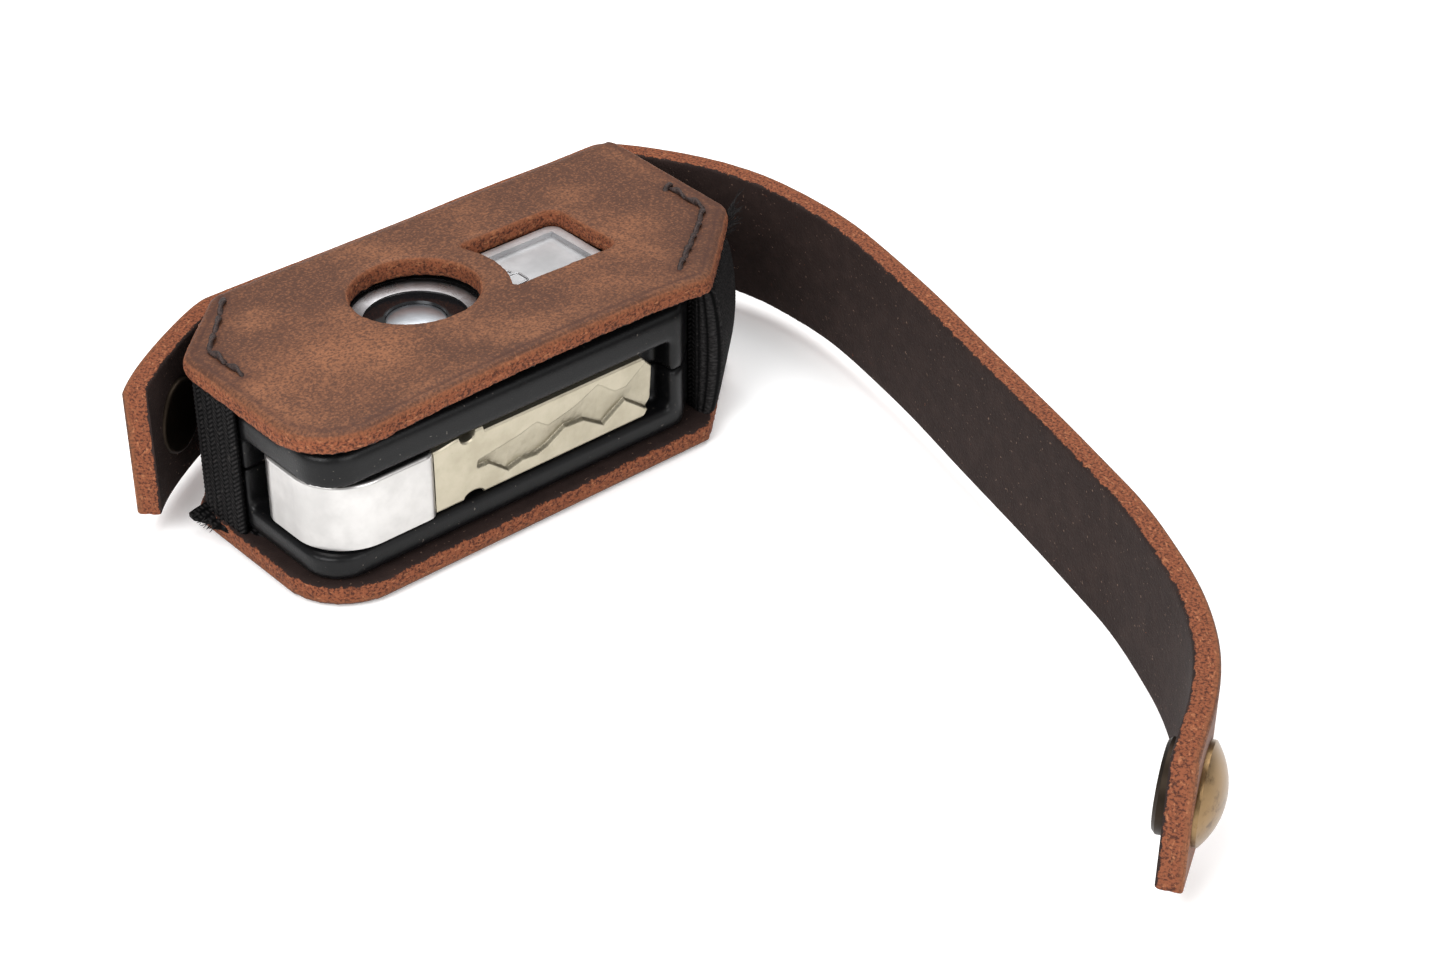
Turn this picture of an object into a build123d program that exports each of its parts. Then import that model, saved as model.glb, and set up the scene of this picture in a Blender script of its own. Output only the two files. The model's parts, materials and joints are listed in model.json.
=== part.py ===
"""Leather key-fob holder: a folded leather wrap with elastic sides, a flip-key fob inside, and a snap strap.

Millimetres, +Z up. The origin is the centre of the panel's outline on the underside of the bottom panel.
+X runs along the spine, +Y points at the spine, and -Y is the open front where the key blade lies.
"""
from build123d import *
import os
from math import cos, radians, sin, sqrt

# Leather wrap
panel_length = 72.5
panel_depth = 38.3
wrap_height = 23.5
leather_thickness = 2.8
left_chamfer = (12.2, 11.25)
right_chamfer = (14.75, 13.25)
front_corner_radius = 8.5
chamfer_end_radius = 3.2
spine_bend_radius = 3.4
round_window = (-7.25, 1.85)
round_window_radius = 7.95
button_window_right = 18.35
button_window_front = -5.5
button_window_back = 7.2
button_window_arc_radius = 11.75

# Seams
stitch_inset = 3.1
stitch_length = 2.7
stitch_gap = 0.9
stitch_width = 0.7
stitch_groove = 0.4
stitch_rise = 0.3
left_seam_front = -0.4

# Strap: section lengths along its middle, and the heading of each section in degrees from +X
strap_width = 17.3
strap_thickness = 2.9
strap_root_past_end = 1.75
strap_sections = [
    (14.1, -59.9), (13.6, -76.5), (20.3, -97.4), (52.7, -107.3),
    (5.6, -107.6), (6.4, -114.0), (12.3, -118.1), (12.2, -132.0), (14.6, -150.0),
]
strap_joint_gap = 0.15
strap_corner_radius = 2.2
tab_length = 20.0
tab_heading = 210.6
tab_hinge_past_chamfer = 1.45

# Snap fastener
snap_from_strap_end = 5.8
snap_from_tab_end = 9.0
snap_barrel_radius = 2.0
cap_radius = 5.5
cap_rise = 2.0
socket_radius = 5.0
socket_thickness = 1.25
socket_mouth_radius = 2.0
stud_base_radius = 4.6
stud_base_thickness = 0.5
stud_ball_radius = 1.75
stud_ball_rise = 0.95
post_flange_radius = 4.65
post_flange_thickness = 0.8

# Elastic sides
elastic_thickness = 0.75
left_elastic_inset = 0.35
left_elastic_front = -1.2
right_elastic_inset = 1.9
loop_inset = 0.2
loop_bulge = 0.3

# Fob housing
fob_gap_below = 0.1
fob_top_gap = 0.5
fob_spine_gap = 0.5
fob_front_inset = 1.65
fob_right_chamfer_inset = 3.4
fob_right_inset = 2.65
fob_left_chamfer_inset = 1.8
fob_left_inset = 1.5
fob_corner_radius = 5.0
fob_edge_radius = 1.1
parting_height = 11.5
parting_gap = 0.04
floor_thickness = 1.6
roof_thickness = 1.6
cavity_left = -13.0
cavity_wall_front = 5.3
cavity_wall = 2.4
ledge_width = 1.0
boss_radius = 2.3

# Flip key
pivot = (-25.2, -9.3)
pivot_radius = 2.5
running_clearance = 0.05
hub_left_reach = 9.0
hub_right_reach = 6.4
hub_front_reach = 8.2
hub_back_reach = 6.4
hub_height = 8.8
blade_height = 9.0
blade_thickness = 2.5
blade_tip = 14.0
blade_face_reach = 7.7
blade_bottom = 6.6
pocket_clearance = 0.3
tang_length = 4.7
tang_height = 5.6
roll_pin_radius = 0.75
pin_seat_depth = 1.6
detent_ball_radius = 0.8
detent_bore_depth = 2.7
detent_wire = 0.14

# Electronics
battery_radius = 10.0
battery_thickness = 3.2
battery_centre = (14.0, 0.7)
board_thickness = 1.0
board_clearance = 0.25
switch_size = 6.0
switch_body = 1.2
switch_dome = 0.6
button_travel = 0.4
button_gap = 0.25
button_rise = 0.7
button_rim = 0.7

# Top trim
badge_seat_radius = 9.1
bezel_inner_radius = 6.5
badge_dome_radius = 3.7
trim_thickness = 1.0
trim_right = 0.6
trim_front = -9.6

# Worked-out levels
fob_bottom = leather_thickness + fob_gap_below
panel_underside = wrap_height - leather_thickness
fob_top = panel_underside - fob_top_gap
cavity_top = fob_top - roof_thickness
cavity_floor = fob_bottom + floor_thickness
board_bottom = cavity_floor + battery_thickness + 0.9
board_top = board_bottom + board_thickness
pocket_bottom = blade_bottom - pocket_clearance
pocket_top = blade_bottom + blade_height + pocket_clearance
spine_y = panel_depth / 2
fob_inset = (fob_front_inset, fob_right_chamfer_inset, fob_right_inset,
             leather_thickness + fob_spine_gap, fob_left_chamfer_inset, fob_left_inset)
trim_seat = fob_top - trim_thickness
strap_middle = wrap_height / 2


def panel_corners():
    """The panel's six corners, counter-clockwise from the front left."""
    x, y = panel_length / 2, panel_depth / 2
    return [(-x, -y), (x - right_chamfer[0], -y), (x, right_chamfer[1] - y), (x, y),
            (left_chamfer[0] - x, y), (-x, y - left_chamfer[1])]


def moved_side(start, end, inset):
    """A side's start and direction after it is moved inwards; the inside is on its left."""
    length = sqrt((end[0] - start[0]) ** 2 + (end[1] - start[1]) ** 2)
    along = ((end[0] - start[0]) / length, (end[1] - start[1]) / length)
    return (start[0] - along[1] * inset, start[1] + along[0] * inset), along


def crossing(side_a, side_b):
    """Where two sides' lines cross."""
    (ax, ay), (ux, uy) = side_a
    (bx, by), (vx, vy) = side_b
    reach = ((bx - ax) * vy - (by - ay) * vx) / (ux * vy - uy * vx)
    return (ax + ux * reach, ay + uy * reach)


def inset_corners(insets):
    """The outline's corners with the front, right chamfer, right, back, left chamfer and left moved in."""
    corners = panel_corners()
    sides = [moved_side(corners[i], corners[(i + 1) % 6], insets[i]) for i in range(6)]
    return [crossing(sides[i - 1], sides[i]) for i in range(6)]


def rounded_face(points, radii):
    """A flat face through the points with each corner rounded by its own radius."""
    face = make_face(Polyline(*points, close=True))
    for point, radius in zip(points, radii):
        if radius > 0:
            vertex = face.vertices().sort_by_distance(Vector(point[0], point[1], 0))[0]
            face = fillet(vertex, radius)
    return face


def outline_face(insets, front_radius, other_radius):
    """The inset outline with a large front-left corner and equal other corners."""
    corners = inset_corners(insets)
    return rounded_face(corners, [front_radius] + [other_radius] * 5)


def raised(face, bottom, top):
    """The face drawn up into a solid between two heights."""
    return Pos(0, 0, bottom) * extrude(face, amount=top - bottom)


def block(x_low, x_high, y_low, y_high, z_low, z_high):
    """A box between two corners."""
    size = (x_high - x_low, y_high - y_low, z_high - z_low)
    middle = ((x_low + x_high) / 2, (y_low + y_high) / 2, (z_low + z_high) / 2)
    return Pos(*middle) * Box(*size)


def upright(x, y, radius, z_low, z_high):
    """A vertical cylinder."""
    return Pos(x, y, (z_low + z_high) / 2) * Cylinder(radius, z_high - z_low)


def direction(heading):
    return Vector(cos(radians(heading)), sin(radians(heading)), 0)


def save(name, shape):
    export_step(shape, f"parts/{name}.step")


def save_group(name, solids):
    save(name, Compound(children=list(solids)))


def button_face(margin):
    """The button window's shape, grown outwards by the margin."""
    centre_x, centre_y = round_window
    front, back = button_window_front - margin, button_window_back + margin
    right = button_window_right + margin
    radius = button_window_arc_radius - margin
    left_front = centre_x + sqrt(radius ** 2 - (front - centre_y) ** 2)
    left_back = centre_x + sqrt(radius ** 2 - (back - centre_y) ** 2)
    arc = ThreePointArc((left_back, back), (centre_x + radius, centre_y), (left_front, front))
    sides = Polyline((left_front, front), (right, front), (right, back), (left_back, back))
    face = make_face([*arc.edges(), *sides.edges()])
    right_corners = face.vertices().sort_by(Axis.X)[-2:]
    return fillet(right_corners, 1.6)


def seam(points):
    """Evenly spaced stitch places along straight runs: middle point and heading."""
    places = []
    for start, end in zip(points, points[1:]):
        run = Vector(*end) - Vector(*start)
        count = max(int(run.length / (stitch_length + stitch_gap)), 1)
        pitch = run.length / count
        heading = run.normalized()
        for i in range(count):
            middle = Vector(*start) + heading * (pitch * (i + 0.5))
            places.append((middle, degrees_of(heading)))
    return places


def degrees_of(heading):
    return Vector(1, 0, 0).get_signed_angle(heading, Vector(0, 0, 1))


def stitch_places():
    """The left seam follows the left side and its chamfer; the right seam follows the right chamfer."""
    inset = inset_corners([stitch_inset] * 6)
    left = [(inset[5][0], left_seam_front), inset[5], inset[4]]
    right = [inset[1], inset[2], (inset[2][0], inset[2][1] + 2.4 * stitch_length)]
    return {"left": seam(left), "right": seam(right)}


def stitch(place, z_low, z_high):
    middle, heading = place
    bar = Box(stitch_length, stitch_width, z_high - z_low)
    return Pos(middle.X, middle.Y, (z_low + z_high) / 2) * Rot(0, 0, heading) * bar


def leather_wrap(places):
    """One C-shaped hide: bottom panel, spine and top panel, with windows and thread grooves."""
    x = panel_length / 2
    outer = Rectangle(panel_depth + 20, wrap_height)
    outer = fillet(outer.vertices().group_by(Axis.X)[-1], spine_bend_radius)
    hollow = Rectangle(panel_depth + 20, wrap_height - 2 * leather_thickness)
    hollow = Pos(-leather_thickness, 0) * fillet(hollow.vertices().group_by(Axis.X)[-1], 0.8)
    section = Pos(spine_y - (panel_depth + 20) / 2, wrap_height / 2) * (outer - hollow)
    side = Plane(origin=(-x - 1, 0, 0), x_dir=(0, 1, 0), z_dir=(1, 0, 0))
    wrap = extrude(side * section, amount=panel_length + 2)
    wrap &= raised(outline_face([0] * 6, front_corner_radius, chamfer_end_radius), 0, wrap_height)
    wrap -= upright(*round_window, round_window_radius, panel_underside - 1, wrap_height + 1)
    wrap -= raised(button_face(0), panel_underside - 1, wrap_height + 1)
    for place in places["left"] + places["right"]:
        wrap -= stitch(place, wrap_height - stitch_groove, wrap_height + 1)
        wrap -= stitch(place, -1, stitch_groove)
    return wrap


def strap_section(start, length, heading, rounded_start, rounded_end):
    """A flat length of strap on edge. A rounded end is centred on its hinge; a plain one stops at its end."""
    half = strap_thickness / 2
    cut_back = 0 if rounded_start else half + strap_joint_gap
    z_low = strap_middle - strap_width / 2
    body = block(cut_back, length, -half, half, z_low, z_low + strap_width)
    if rounded_start:
        body += upright(0, 0, half, z_low, z_low + strap_width)
    if rounded_end:
        body += upright(length, 0, half, z_low, z_low + strap_width)
    else:
        ends = body.faces().sort_by(Axis.X)[-1].edges().filter_by(Axis.Y)
        body = fillet(ends, strap_corner_radius)
    return Pos(*start) * Rot(0, 0, heading) * body


def strap_joints():
    """The hinge points along the strap, from its root at the spine's right end to the free end."""
    right_end = panel_length / 2 + strap_root_past_end
    points = [Vector(right_end, spine_y + strap_thickness / 2, 0)]
    for length, heading in strap_sections:
        points.append(points[-1] + direction(heading) * length)
    return points


def tab_hinge():
    x = left_chamfer[0] - panel_length / 2 - tab_hinge_past_chamfer
    return Vector(x, spine_y + strap_thickness / 2, 0)


def across(place, heading, offset):
    """A frame on a strap's face: x along the strap, z out of the face on its right-hand side."""
    along = direction(heading)
    outwards = Vector(along.Y, -along.X, 0)
    origin = place + outwards * offset + Vector(0, 0, strap_middle)
    return Plane(origin=origin, x_dir=along, z_dir=outwards)


def strap_parts():
    """The strap's fixed back, its hinged sections and the short tab, with holes for the snap's barrels."""
    joints = strap_joints()
    hinge = tab_hinge()
    back_length = joints[0].X - hinge.X
    half = strap_thickness / 2
    save("strap_back", strap_section(hinge, back_length, 0, True, True))
    last = len(strap_sections) - 1
    for i, (length, heading) in enumerate(strap_sections):
        section = strap_section(joints[i], length, heading, False, i < last)
        if i == last:
            snap_at = joints[i] + direction(heading) * (length - snap_from_strap_end)
            barrel = Cylinder(snap_barrel_radius, 2 * strap_thickness)
            section -= across(snap_at, heading, 0) * barrel
            save_snap_female(snap_at, heading)
        save(f"strap_section_{i + 1}", section)
    post_at = hinge + direction(tab_heading) * (tab_length - snap_from_tab_end)
    tab = strap_section(hinge, tab_length, tab_heading, False, False)
    tab -= across(post_at, tab_heading, 0) * Cylinder(snap_barrel_radius, 4 * half)
    save("strap_tab", tab)
    save_snap_male(post_at)


def save_snap_female(snap_at, heading):
    """The domed cap on the strap's outer face, and the socket on its inner face that takes the stud."""
    half = strap_thickness / 2
    rim = 0.5
    outside = across(snap_at, heading + 180, half)
    sphere_radius = (cap_radius ** 2 + cap_rise ** 2) / (2 * cap_rise)
    dome = Pos(0, 0, cap_rise - sphere_radius) * Sphere(sphere_radius)
    dome &= Pos(0, 0, cap_rise) * Box(4 * cap_radius, 4 * cap_radius, 2 * cap_rise)
    cap = Pos(0, 0, rim / 2) * Cylinder(cap_radius, rim) + Pos(0, 0, rim) * dome
    barrel_depth = strap_thickness
    cap += Pos(0, 0, -barrel_depth / 2) * Cylinder(snap_barrel_radius, barrel_depth)
    save("snap_cap", outside * cap)
    socket = Cylinder(socket_radius, socket_thickness)
    socket -= Pos(0, 0, 0.25) * Cylinder(socket_mouth_radius, socket_thickness)
    socket = chamfer(socket.faces().sort_by(Axis.Z)[-1].outer_wire().edges(), 0.4)
    save("snap_socket", across(snap_at, heading, half + socket_thickness / 2) * socket)


def save_snap_male(post_at):
    """The stud on the tab's outer face, on the right of its heading, and the post through the tab."""
    half = strap_thickness / 2
    outside = across(post_at, tab_heading, half)
    base = Pos(0, 0, stud_base_thickness / 2) * Cylinder(stud_base_radius, stud_base_thickness)
    ball = Pos(0, 0, stud_base_thickness + stud_ball_rise / 2)
    ball *= fillet(Cylinder(stud_ball_radius, stud_ball_rise).edges().sort_by(Axis.Z)[-1], 0.5)
    save("snap_stud", outside * (base + ball))
    inside = across(post_at, tab_heading + 180, half)
    flange = Cylinder(post_flange_radius, post_flange_thickness)
    flange = fillet(flange.edges().sort_by(Axis.Z)[-1], 0.5)
    post = Pos(0, 0, post_flange_thickness / 2) * flange
    post += Pos(0, 0, -strap_thickness / 2) * Cylinder(snap_barrel_radius, strap_thickness)
    save("snap_post", inside * post)


def elastic_band(inset, region):
    """A band standing between the panels, following the outline at an inset, kept where the region is."""
    outer = outline_face([inset] * 6, front_corner_radius - inset, chamfer_end_radius - 0.5)
    further = inset + elastic_thickness
    inner = outline_face([further] * 6, front_corner_radius - further, chamfer_end_radius - 1.0)
    return raised(outer - inner, leather_thickness, panel_underside) & region


def elastics():
    corners = panel_corners()
    spine_inside = spine_y - leather_thickness
    left = block(corners[0][0] - 1, corners[4][0] + 3, left_elastic_front, spine_inside - 0.9,
                 0, wrap_height)
    save("elastic_left", elastic_band(left_elastic_inset, left))
    right = block(corners[1][0] - 0.3, corners[2][0], -panel_depth, corners[2][1] + 0.4, 0, wrap_height)
    save("elastic_right", elastic_band(right_elastic_inset, right))
    save("elastic_loop", elastic_loop())


def elastic_loop():
    """A second band sewn at the two ends of the right chamfer, bowed outwards between them."""
    start, end = panel_corners()[1:3]
    run = Vector(end[0] - start[0], end[1] - start[1], 0)
    along = run.normalized()
    outwards = Vector(along.Y, -along.X, 0)
    ends = [Vector(*start, 0) + along * 1.5, Vector(*end, 0) - along * 1.5]
    near = [point - outwards * loop_inset for point in ends]
    far = [point - outwards * elastic_thickness for point in near]
    crown = (near[0] + near[1]) / 2 + outwards * (loop_inset + loop_bulge)
    outer = ThreePointArc(near[0], crown, near[1])
    inner = ThreePointArc(far[1], crown - outwards * elastic_thickness, far[0])
    face = make_face([*outer.edges(), *Line(near[1], far[1]).edges(),
                      *inner.edges(), *Line(far[0], near[0]).edges()])
    return raised(face, leather_thickness, panel_underside)


def cavity_face(shrink):
    """The space for the circuit board, inside the housing's walls and right of the hub's pocket."""
    walls = [cavity_wall_front, cavity_wall, cavity_wall, cavity_wall, cavity_wall, cavity_wall]
    insets = [a + b + shrink for a, b in zip(fob_inset, walls)]
    face = make_face(Polyline(*inset_corners(insets), close=True))
    right = panel_length / 2
    left = cavity_left + shrink
    keep = Pos((left + right) / 2, 0) * Rectangle(right - left, panel_depth)
    return face & keep


def key_space():
    """The blade's recess, the hub's round pocket and the corner that the blade swings through."""
    x, y = pivot
    front = -panel_depth / 2
    reach = max(sqrt((hub_left_reach - 3) ** 2 + (hub_back_reach - 3) ** 2) + 3,
                sqrt((hub_right_reach - 1.6) ** 2 + (hub_front_reach - 1.6) ** 2) + 1.6)
    space = upright(x, y, reach + pocket_clearance, pocket_bottom, pocket_top)
    behind_blade = y - blade_face_reach + blade_thickness + pocket_clearance
    space += block(x, blade_tip + 2.5, front, behind_blade, pocket_bottom, pocket_top)
    swing_back = y + blade_face_reach + pocket_clearance
    space += block(-panel_length / 2, x, front, swing_back, pocket_bottom, pocket_top)
    return space


def screw_places():
    """Two screws at the right of the board and one in the solid end behind the hub."""
    right = panel_length / 2 - fob_right_inset - cavity_wall - ledge_width - boss_radius + 0.5
    return [(-19.5, 11.4), (right, 10.4), (right, 0.6)]


def boss_places():
    return screw_places()[1:]


def without_bosses(face):
    """The face less the round bosses that two of the screws go through."""
    for x, y in boss_places():
        face -= Pos(x, y) * Circle(boss_radius)
    return face


def housing_screws():
    screws = []
    for x, y in screw_places():
        head = upright(x, y, 1.9, fob_bottom + 0.2, fob_bottom + 1.4)
        head -= block(x - 1.3, x + 1.3, y - 0.25, y + 0.25, fob_bottom, fob_bottom + 0.8)
        head -= block(x - 0.25, x + 0.25, y - 1.3, y + 1.3, fob_bottom, fob_bottom + 0.8)
        screws.append(head + upright(x, y, 1.0, fob_bottom + 1.4, parting_height + 4.5))
    return screws


def transponder_space(clearance):
    x, y = -25.0, 8.0
    return Pos(x, y, parting_height) * Rot(0, 90, 0) * Cylinder(1.5 + clearance, 11 + 2 * clearance)


def detent_place():
    return pivot[0] + 6.2, pivot[1] + 1.0


def lower_shell():
    shell = raised(outline_face(fob_inset, fob_corner_radius, 2.4), fob_bottom, parting_height)
    shell = fillet(shell.faces().sort_by(Axis.Z)[0].edges(), fob_edge_radius)
    shell -= raised(without_bosses(cavity_face(ledge_width)), cavity_floor, board_bottom + 1)
    shell -= raised(cavity_face(0), board_bottom, parting_height + 1)
    shell -= raised(cavity_face(-1.3) - cavity_face(-0.5), parting_height - 0.8, parting_height + 1)
    x, y = battery_centre
    shell -= upright(x, y, battery_radius + 1.0, fob_bottom - 1, cavity_floor + 1)
    shell -= upright(x, y, battery_radius + 1.65, fob_bottom - 1, fob_bottom + 1.15)
    for x, y in screw_places():
        shell -= upright(x, y, 1.2, fob_bottom - 1, parting_height + 1)
        shell -= upright(x, y, 2.0, fob_bottom - 1, fob_bottom + 1.4)
    shell -= key_space()
    shell -= upright(*pivot, pivot_radius, pocket_bottom - pin_seat_depth, parting_height + 1)
    bore = detent_ball_radius + running_clearance
    shell -= upright(*detent_place(), bore, pocket_bottom - detent_bore_depth, pocket_bottom + 1)
    return shell - transponder_space(0.05)


def upper_shell():
    bottom = parting_height + parting_gap
    shell = raised(outline_face(fob_inset, fob_corner_radius, 2.4), bottom, fob_top)
    shell = fillet(shell.faces().sort_by(Axis.Z)[-1].edges(), fob_edge_radius)
    shell -= raised(without_bosses(cavity_face(0)), bottom - 1, cavity_top)
    for x, y in screw_places():
        shell -= upright(x, y, 1.0, bottom - 3, parting_height + 4.6)
    shell -= key_space()
    shell -= upright(*pivot, pivot_radius, bottom - 1, pocket_top + pin_seat_depth)
    shell -= upright(*round_window, badge_seat_radius, trim_seat, fob_top + 1)
    shell -= raised(trim_face(), trim_seat, fob_top + 1)
    shell -= raised(button_face(-0.45 + button_gap), cavity_top - 1, fob_top + 1)
    return shell - transponder_space(0.05)


def trim_face():
    """The bright plate at the left of the housing's top, cut round the badge."""
    right, left = trim_right, -panel_length / 2
    back = spine_y - leather_thickness - 2.6
    window = Pos((left + right) / 2, (trim_front + back) / 2) * Rectangle(right - left, back - trim_front)
    face = outline_face(fob_inset, fob_corner_radius, 2.4) & window
    return face - Pos(*round_window) * Circle(badge_seat_radius)


def turned(profile):
    """A profile of radius and height turned about the badge's axis."""
    face = make_face(Polyline(*[(radius, 0, z) for radius, z in profile], close=True))
    return Pos(*round_window) * revolve(face, Axis.Z)


def top_trim():
    save("trim_plate", raised(trim_face(), trim_seat, fob_top))
    outer, inner, seat = badge_seat_radius, bezel_inner_radius, trim_seat
    save("bezel_ring", turned([(inner, seat), (outer, seat), (outer, seat + 0.8), (outer - 0.5, seat + 1.2),
                               (outer - 1.1, seat + 1.2), (inner, seat + 0.75)]))
    ring_inner = badge_dome_radius + 0.05
    save("badge_ring", turned([(ring_inner, seat), (inner - 0.05, seat), (inner - 0.05, seat + 0.65),
                               (ring_inner + 0.2, seat + 0.95), (ring_inner, seat + 0.95)]))
    rise = 1.0
    sphere_radius = 14.0
    dome = upright(*round_window, badge_dome_radius, seat, seat + 3)
    dome &= Pos(*round_window, seat + rise - sphere_radius) * Sphere(sphere_radius)
    save("badge_dome", dome)


def unlock_button():
    """A pad that fills its window, with a raised rim behind and at the right, a flange and a plunger."""
    pad_top = fob_top + button_rise
    pad = raised(button_face(-0.45), cavity_top - 0.3, pad_top)
    rim = raised(button_face(-0.45), pad_top, pad_top + button_rim)
    rim -= block(-panel_length, button_window_right - 1.8, -panel_depth, button_window_back - 1.8,
                 0, wrap_height)
    flange = raised(button_face(0.6), cavity_top - 0.9, cavity_top - 0.1)
    x, y = button_centre()
    plunger = upright(x, y, 1.7, switch_top() + button_travel + 0.05, cavity_top - 0.5)
    return pad + rim + flange + plunger


def button_centre():
    left = round_window[0] + button_window_arc_radius
    return (left + button_window_right) / 2, (button_window_front + button_window_back) / 2


def switch_top():
    return board_top + switch_body + switch_dome


def electronics():
    board = raised(cavity_face(board_clearance), board_bottom, board_top)
    for x, y in boss_places():
        board -= upright(x, y, 2.6, board_bottom - 1, board_top + 1)
    save("circuit_board", board)
    save("microchip", chamfer(block(-9, -4, 2, 7, board_top, board_top + 1).edges().group_by(Axis.Z)[-1], 0.2))
    coil = block(-12, -1, -3.5, 12.5, board_top, board_top + 0.6)
    coil -= block(-10.8, -2.2, -2.3, 11.3, board_top - 1, board_top + 1)
    save("antenna_coil", coil)
    x, y = button_centre()
    half = switch_size / 2
    switch = block(x - half, x + half, y - half, y + half, board_top, board_top + switch_body)
    switch += upright(x, y, 2.2, board_top + switch_body, switch_top())
    save("dome_switch", switch)
    save("transponder", transponder_space(0))
    battery()


def battery():
    x, y = battery_centre
    top = cavity_floor + battery_thickness
    cell = upright(x, y, battery_radius, cavity_floor, top)
    save("battery_cell", fillet(cell.edges(), 0.4))
    clip = block(x - 6, x + 6, y - 3.5, y + 3.5, top, top + 0.3)
    for side in (-1, 1):
        clip += block(x + side * 5.5 - 0.5, x + side * 5.5 + 0.5, y - 3.5, y + 3.5, top, board_bottom)
    save("battery_clip", clip)
    cover = upright(x, y, battery_radius + 1.6, fob_bottom + 0.05, fob_bottom + 1.1)
    cover += upright(x, y, battery_radius + 0.3, fob_bottom + 1.1, cavity_floor)
    cover -= block(x - 5, x + 5, y - 0.7, y + 0.7, fob_bottom - 1, fob_bottom + 0.7)
    save("battery_cover", cover)
    ring = Pos(x, y, fob_bottom + 1.45) * Torus(battery_radius + 0.65, 0.3)
    save("cover_o_ring", ring)
    gasket = cavity_face(-1.25) - cavity_face(-0.55)
    save("shell_gasket", raised(gasket, parting_height - 0.75, parting_height))


def hub_face():
    x, y = pivot
    left, right = x - hub_left_reach, x + hub_right_reach
    front, back = y - hub_front_reach, y + hub_back_reach
    return rounded_face([(left, front), (right, front), (right, back), (left, back)], [7.0, 1.6, 4.0, 3.0])


def blade_side():
    """The blade seen from the front: a square shoulder, two notches and a chamfered tip."""
    root = pivot[0] + hub_right_reach + 0.05
    low, high = blade_bottom, blade_bottom + blade_height
    face = make_face(Polyline((root, low), (blade_tip - 1.6, low), (blade_tip, low + 2.2), (blade_tip, high - 3.0),
                              (blade_tip - 2.4, high), (root, high), close=True))
    face -= Pos(root + 4.4, high + 0.4) * Circle(1.6)
    face -= Pos(root + 7.2, low) * Rectangle(2.0, 1.6)
    face -= Pos(root + 3.2, high) * Rectangle(6.4, 0.5)
    tang = Pos(root - tang_length / 2 + 0.5, (low + high) / 2) * Rectangle(tang_length + 1.0, tang_height)
    return face + tang


def key_blade():
    outer_face = pivot[1] - blade_face_reach
    front = Plane(origin=(0, outer_face, 0), x_dir=(1, 0, 0), z_dir=(0, -1, 0))
    blade = extrude(front * blade_side(), amount=-blade_thickness)
    blade -= milled_track(outer_face)
    return blade


def milled_track(outer_face):
    """A shallow stepped track along the middle of the blade's front face."""
    root = pivot[0] + hub_right_reach
    middle = blade_bottom + blade_height / 2
    steps = [(12.0, 0.6), (15.5, -0.5), (19.5, 0.7), (23.5, -0.3), (28.0, 0.5)]
    track = None
    for i, (start, shift) in enumerate(steps):
        end = steps[i + 1][0] if i + 1 < len(steps) else blade_tip - root
        bar = block(root + start, root + end + 0.01, outer_face - 1, outer_face + 0.7,
                    middle + shift - 1.1, middle + shift + 1.1)
        track = bar if track is None else track + bar
    return track


def flip_key():
    blade = key_blade()
    hub = raised(hub_face(), blade_bottom, blade_bottom + hub_height)
    hub = fillet(hub.faces().sort_by(Axis.Z)[-1].edges(), 0.5)
    hub -= upright(*pivot, pivot_radius + running_clearance, 0, wrap_height)
    root = pivot[0] + hub_right_reach
    outer_face = pivot[1] - blade_face_reach
    middle = blade_bottom + blade_height / 2
    hub -= block(root - tang_length + 0.05, root + 1, outer_face, outer_face + blade_thickness,
                 middle - tang_height / 2, middle + tang_height / 2)
    pin_at = (root - tang_length / 2, outer_face + blade_thickness / 2)
    pin = upright(*pin_at, roll_pin_radius, blade_bottom + 0.3, blade_bottom + hub_height - 0.5)
    hub -= upright(*pin_at, roll_pin_radius, blade_bottom + 0.3, wrap_height)
    save("key_blade", blade - pin)
    save("blade_hub", hub)
    save("roll_pin", pin)
    save("pivot_pin", upright(*pivot, pivot_radius, pocket_bottom - pin_seat_depth, pocket_top + pin_seat_depth))
    detent()


def detent():
    """The sprung ball under the hub that holds the blade folded or open."""
    x, y = detent_place()
    ball_top = blade_bottom - running_clearance
    save("detent_ball", Pos(x, y, ball_top - detent_ball_radius) * Sphere(detent_ball_radius))
    base = pocket_bottom - detent_bore_depth + detent_wire
    height = ball_top - 2 * detent_ball_radius - base - detent_wire
    path = Helix(height / 3, height, detent_ball_radius - 0.2)
    section = Plane(origin=path @ 0, z_dir=path % 0) * Circle(detent_wire)
    save("detent_spring", Pos(x, y, base) * sweep(section, path, is_frenet=True))


def main():
    os.makedirs("parts", exist_ok=True)
    places = stitch_places()
    save("leather_wrap", leather_wrap(places))
    for side, seam_places in places.items():
        top = [stitch(place, wrap_height - stitch_groove, wrap_height + stitch_rise) for place in seam_places]
        low = [stitch(place, 0.05, stitch_groove) for place in seam_places]
        save_group(f"{side}_seam_top_thread", top)
        save_group(f"{side}_seam_bottom_thread", low)
    strap_parts()
    elastics()
    save("fob_lower_shell", lower_shell())
    save("fob_upper_shell", upper_shell())
    save_group("housing_screws", housing_screws())
    top_trim()
    save("unlock_button", unlock_button())
    electronics()
    flip_key()


main()
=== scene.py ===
import bmesh
import bpy
import json
import numpy as np
from math import cos, pi, radians, sin
from mathutils import Matrix, Vector


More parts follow.
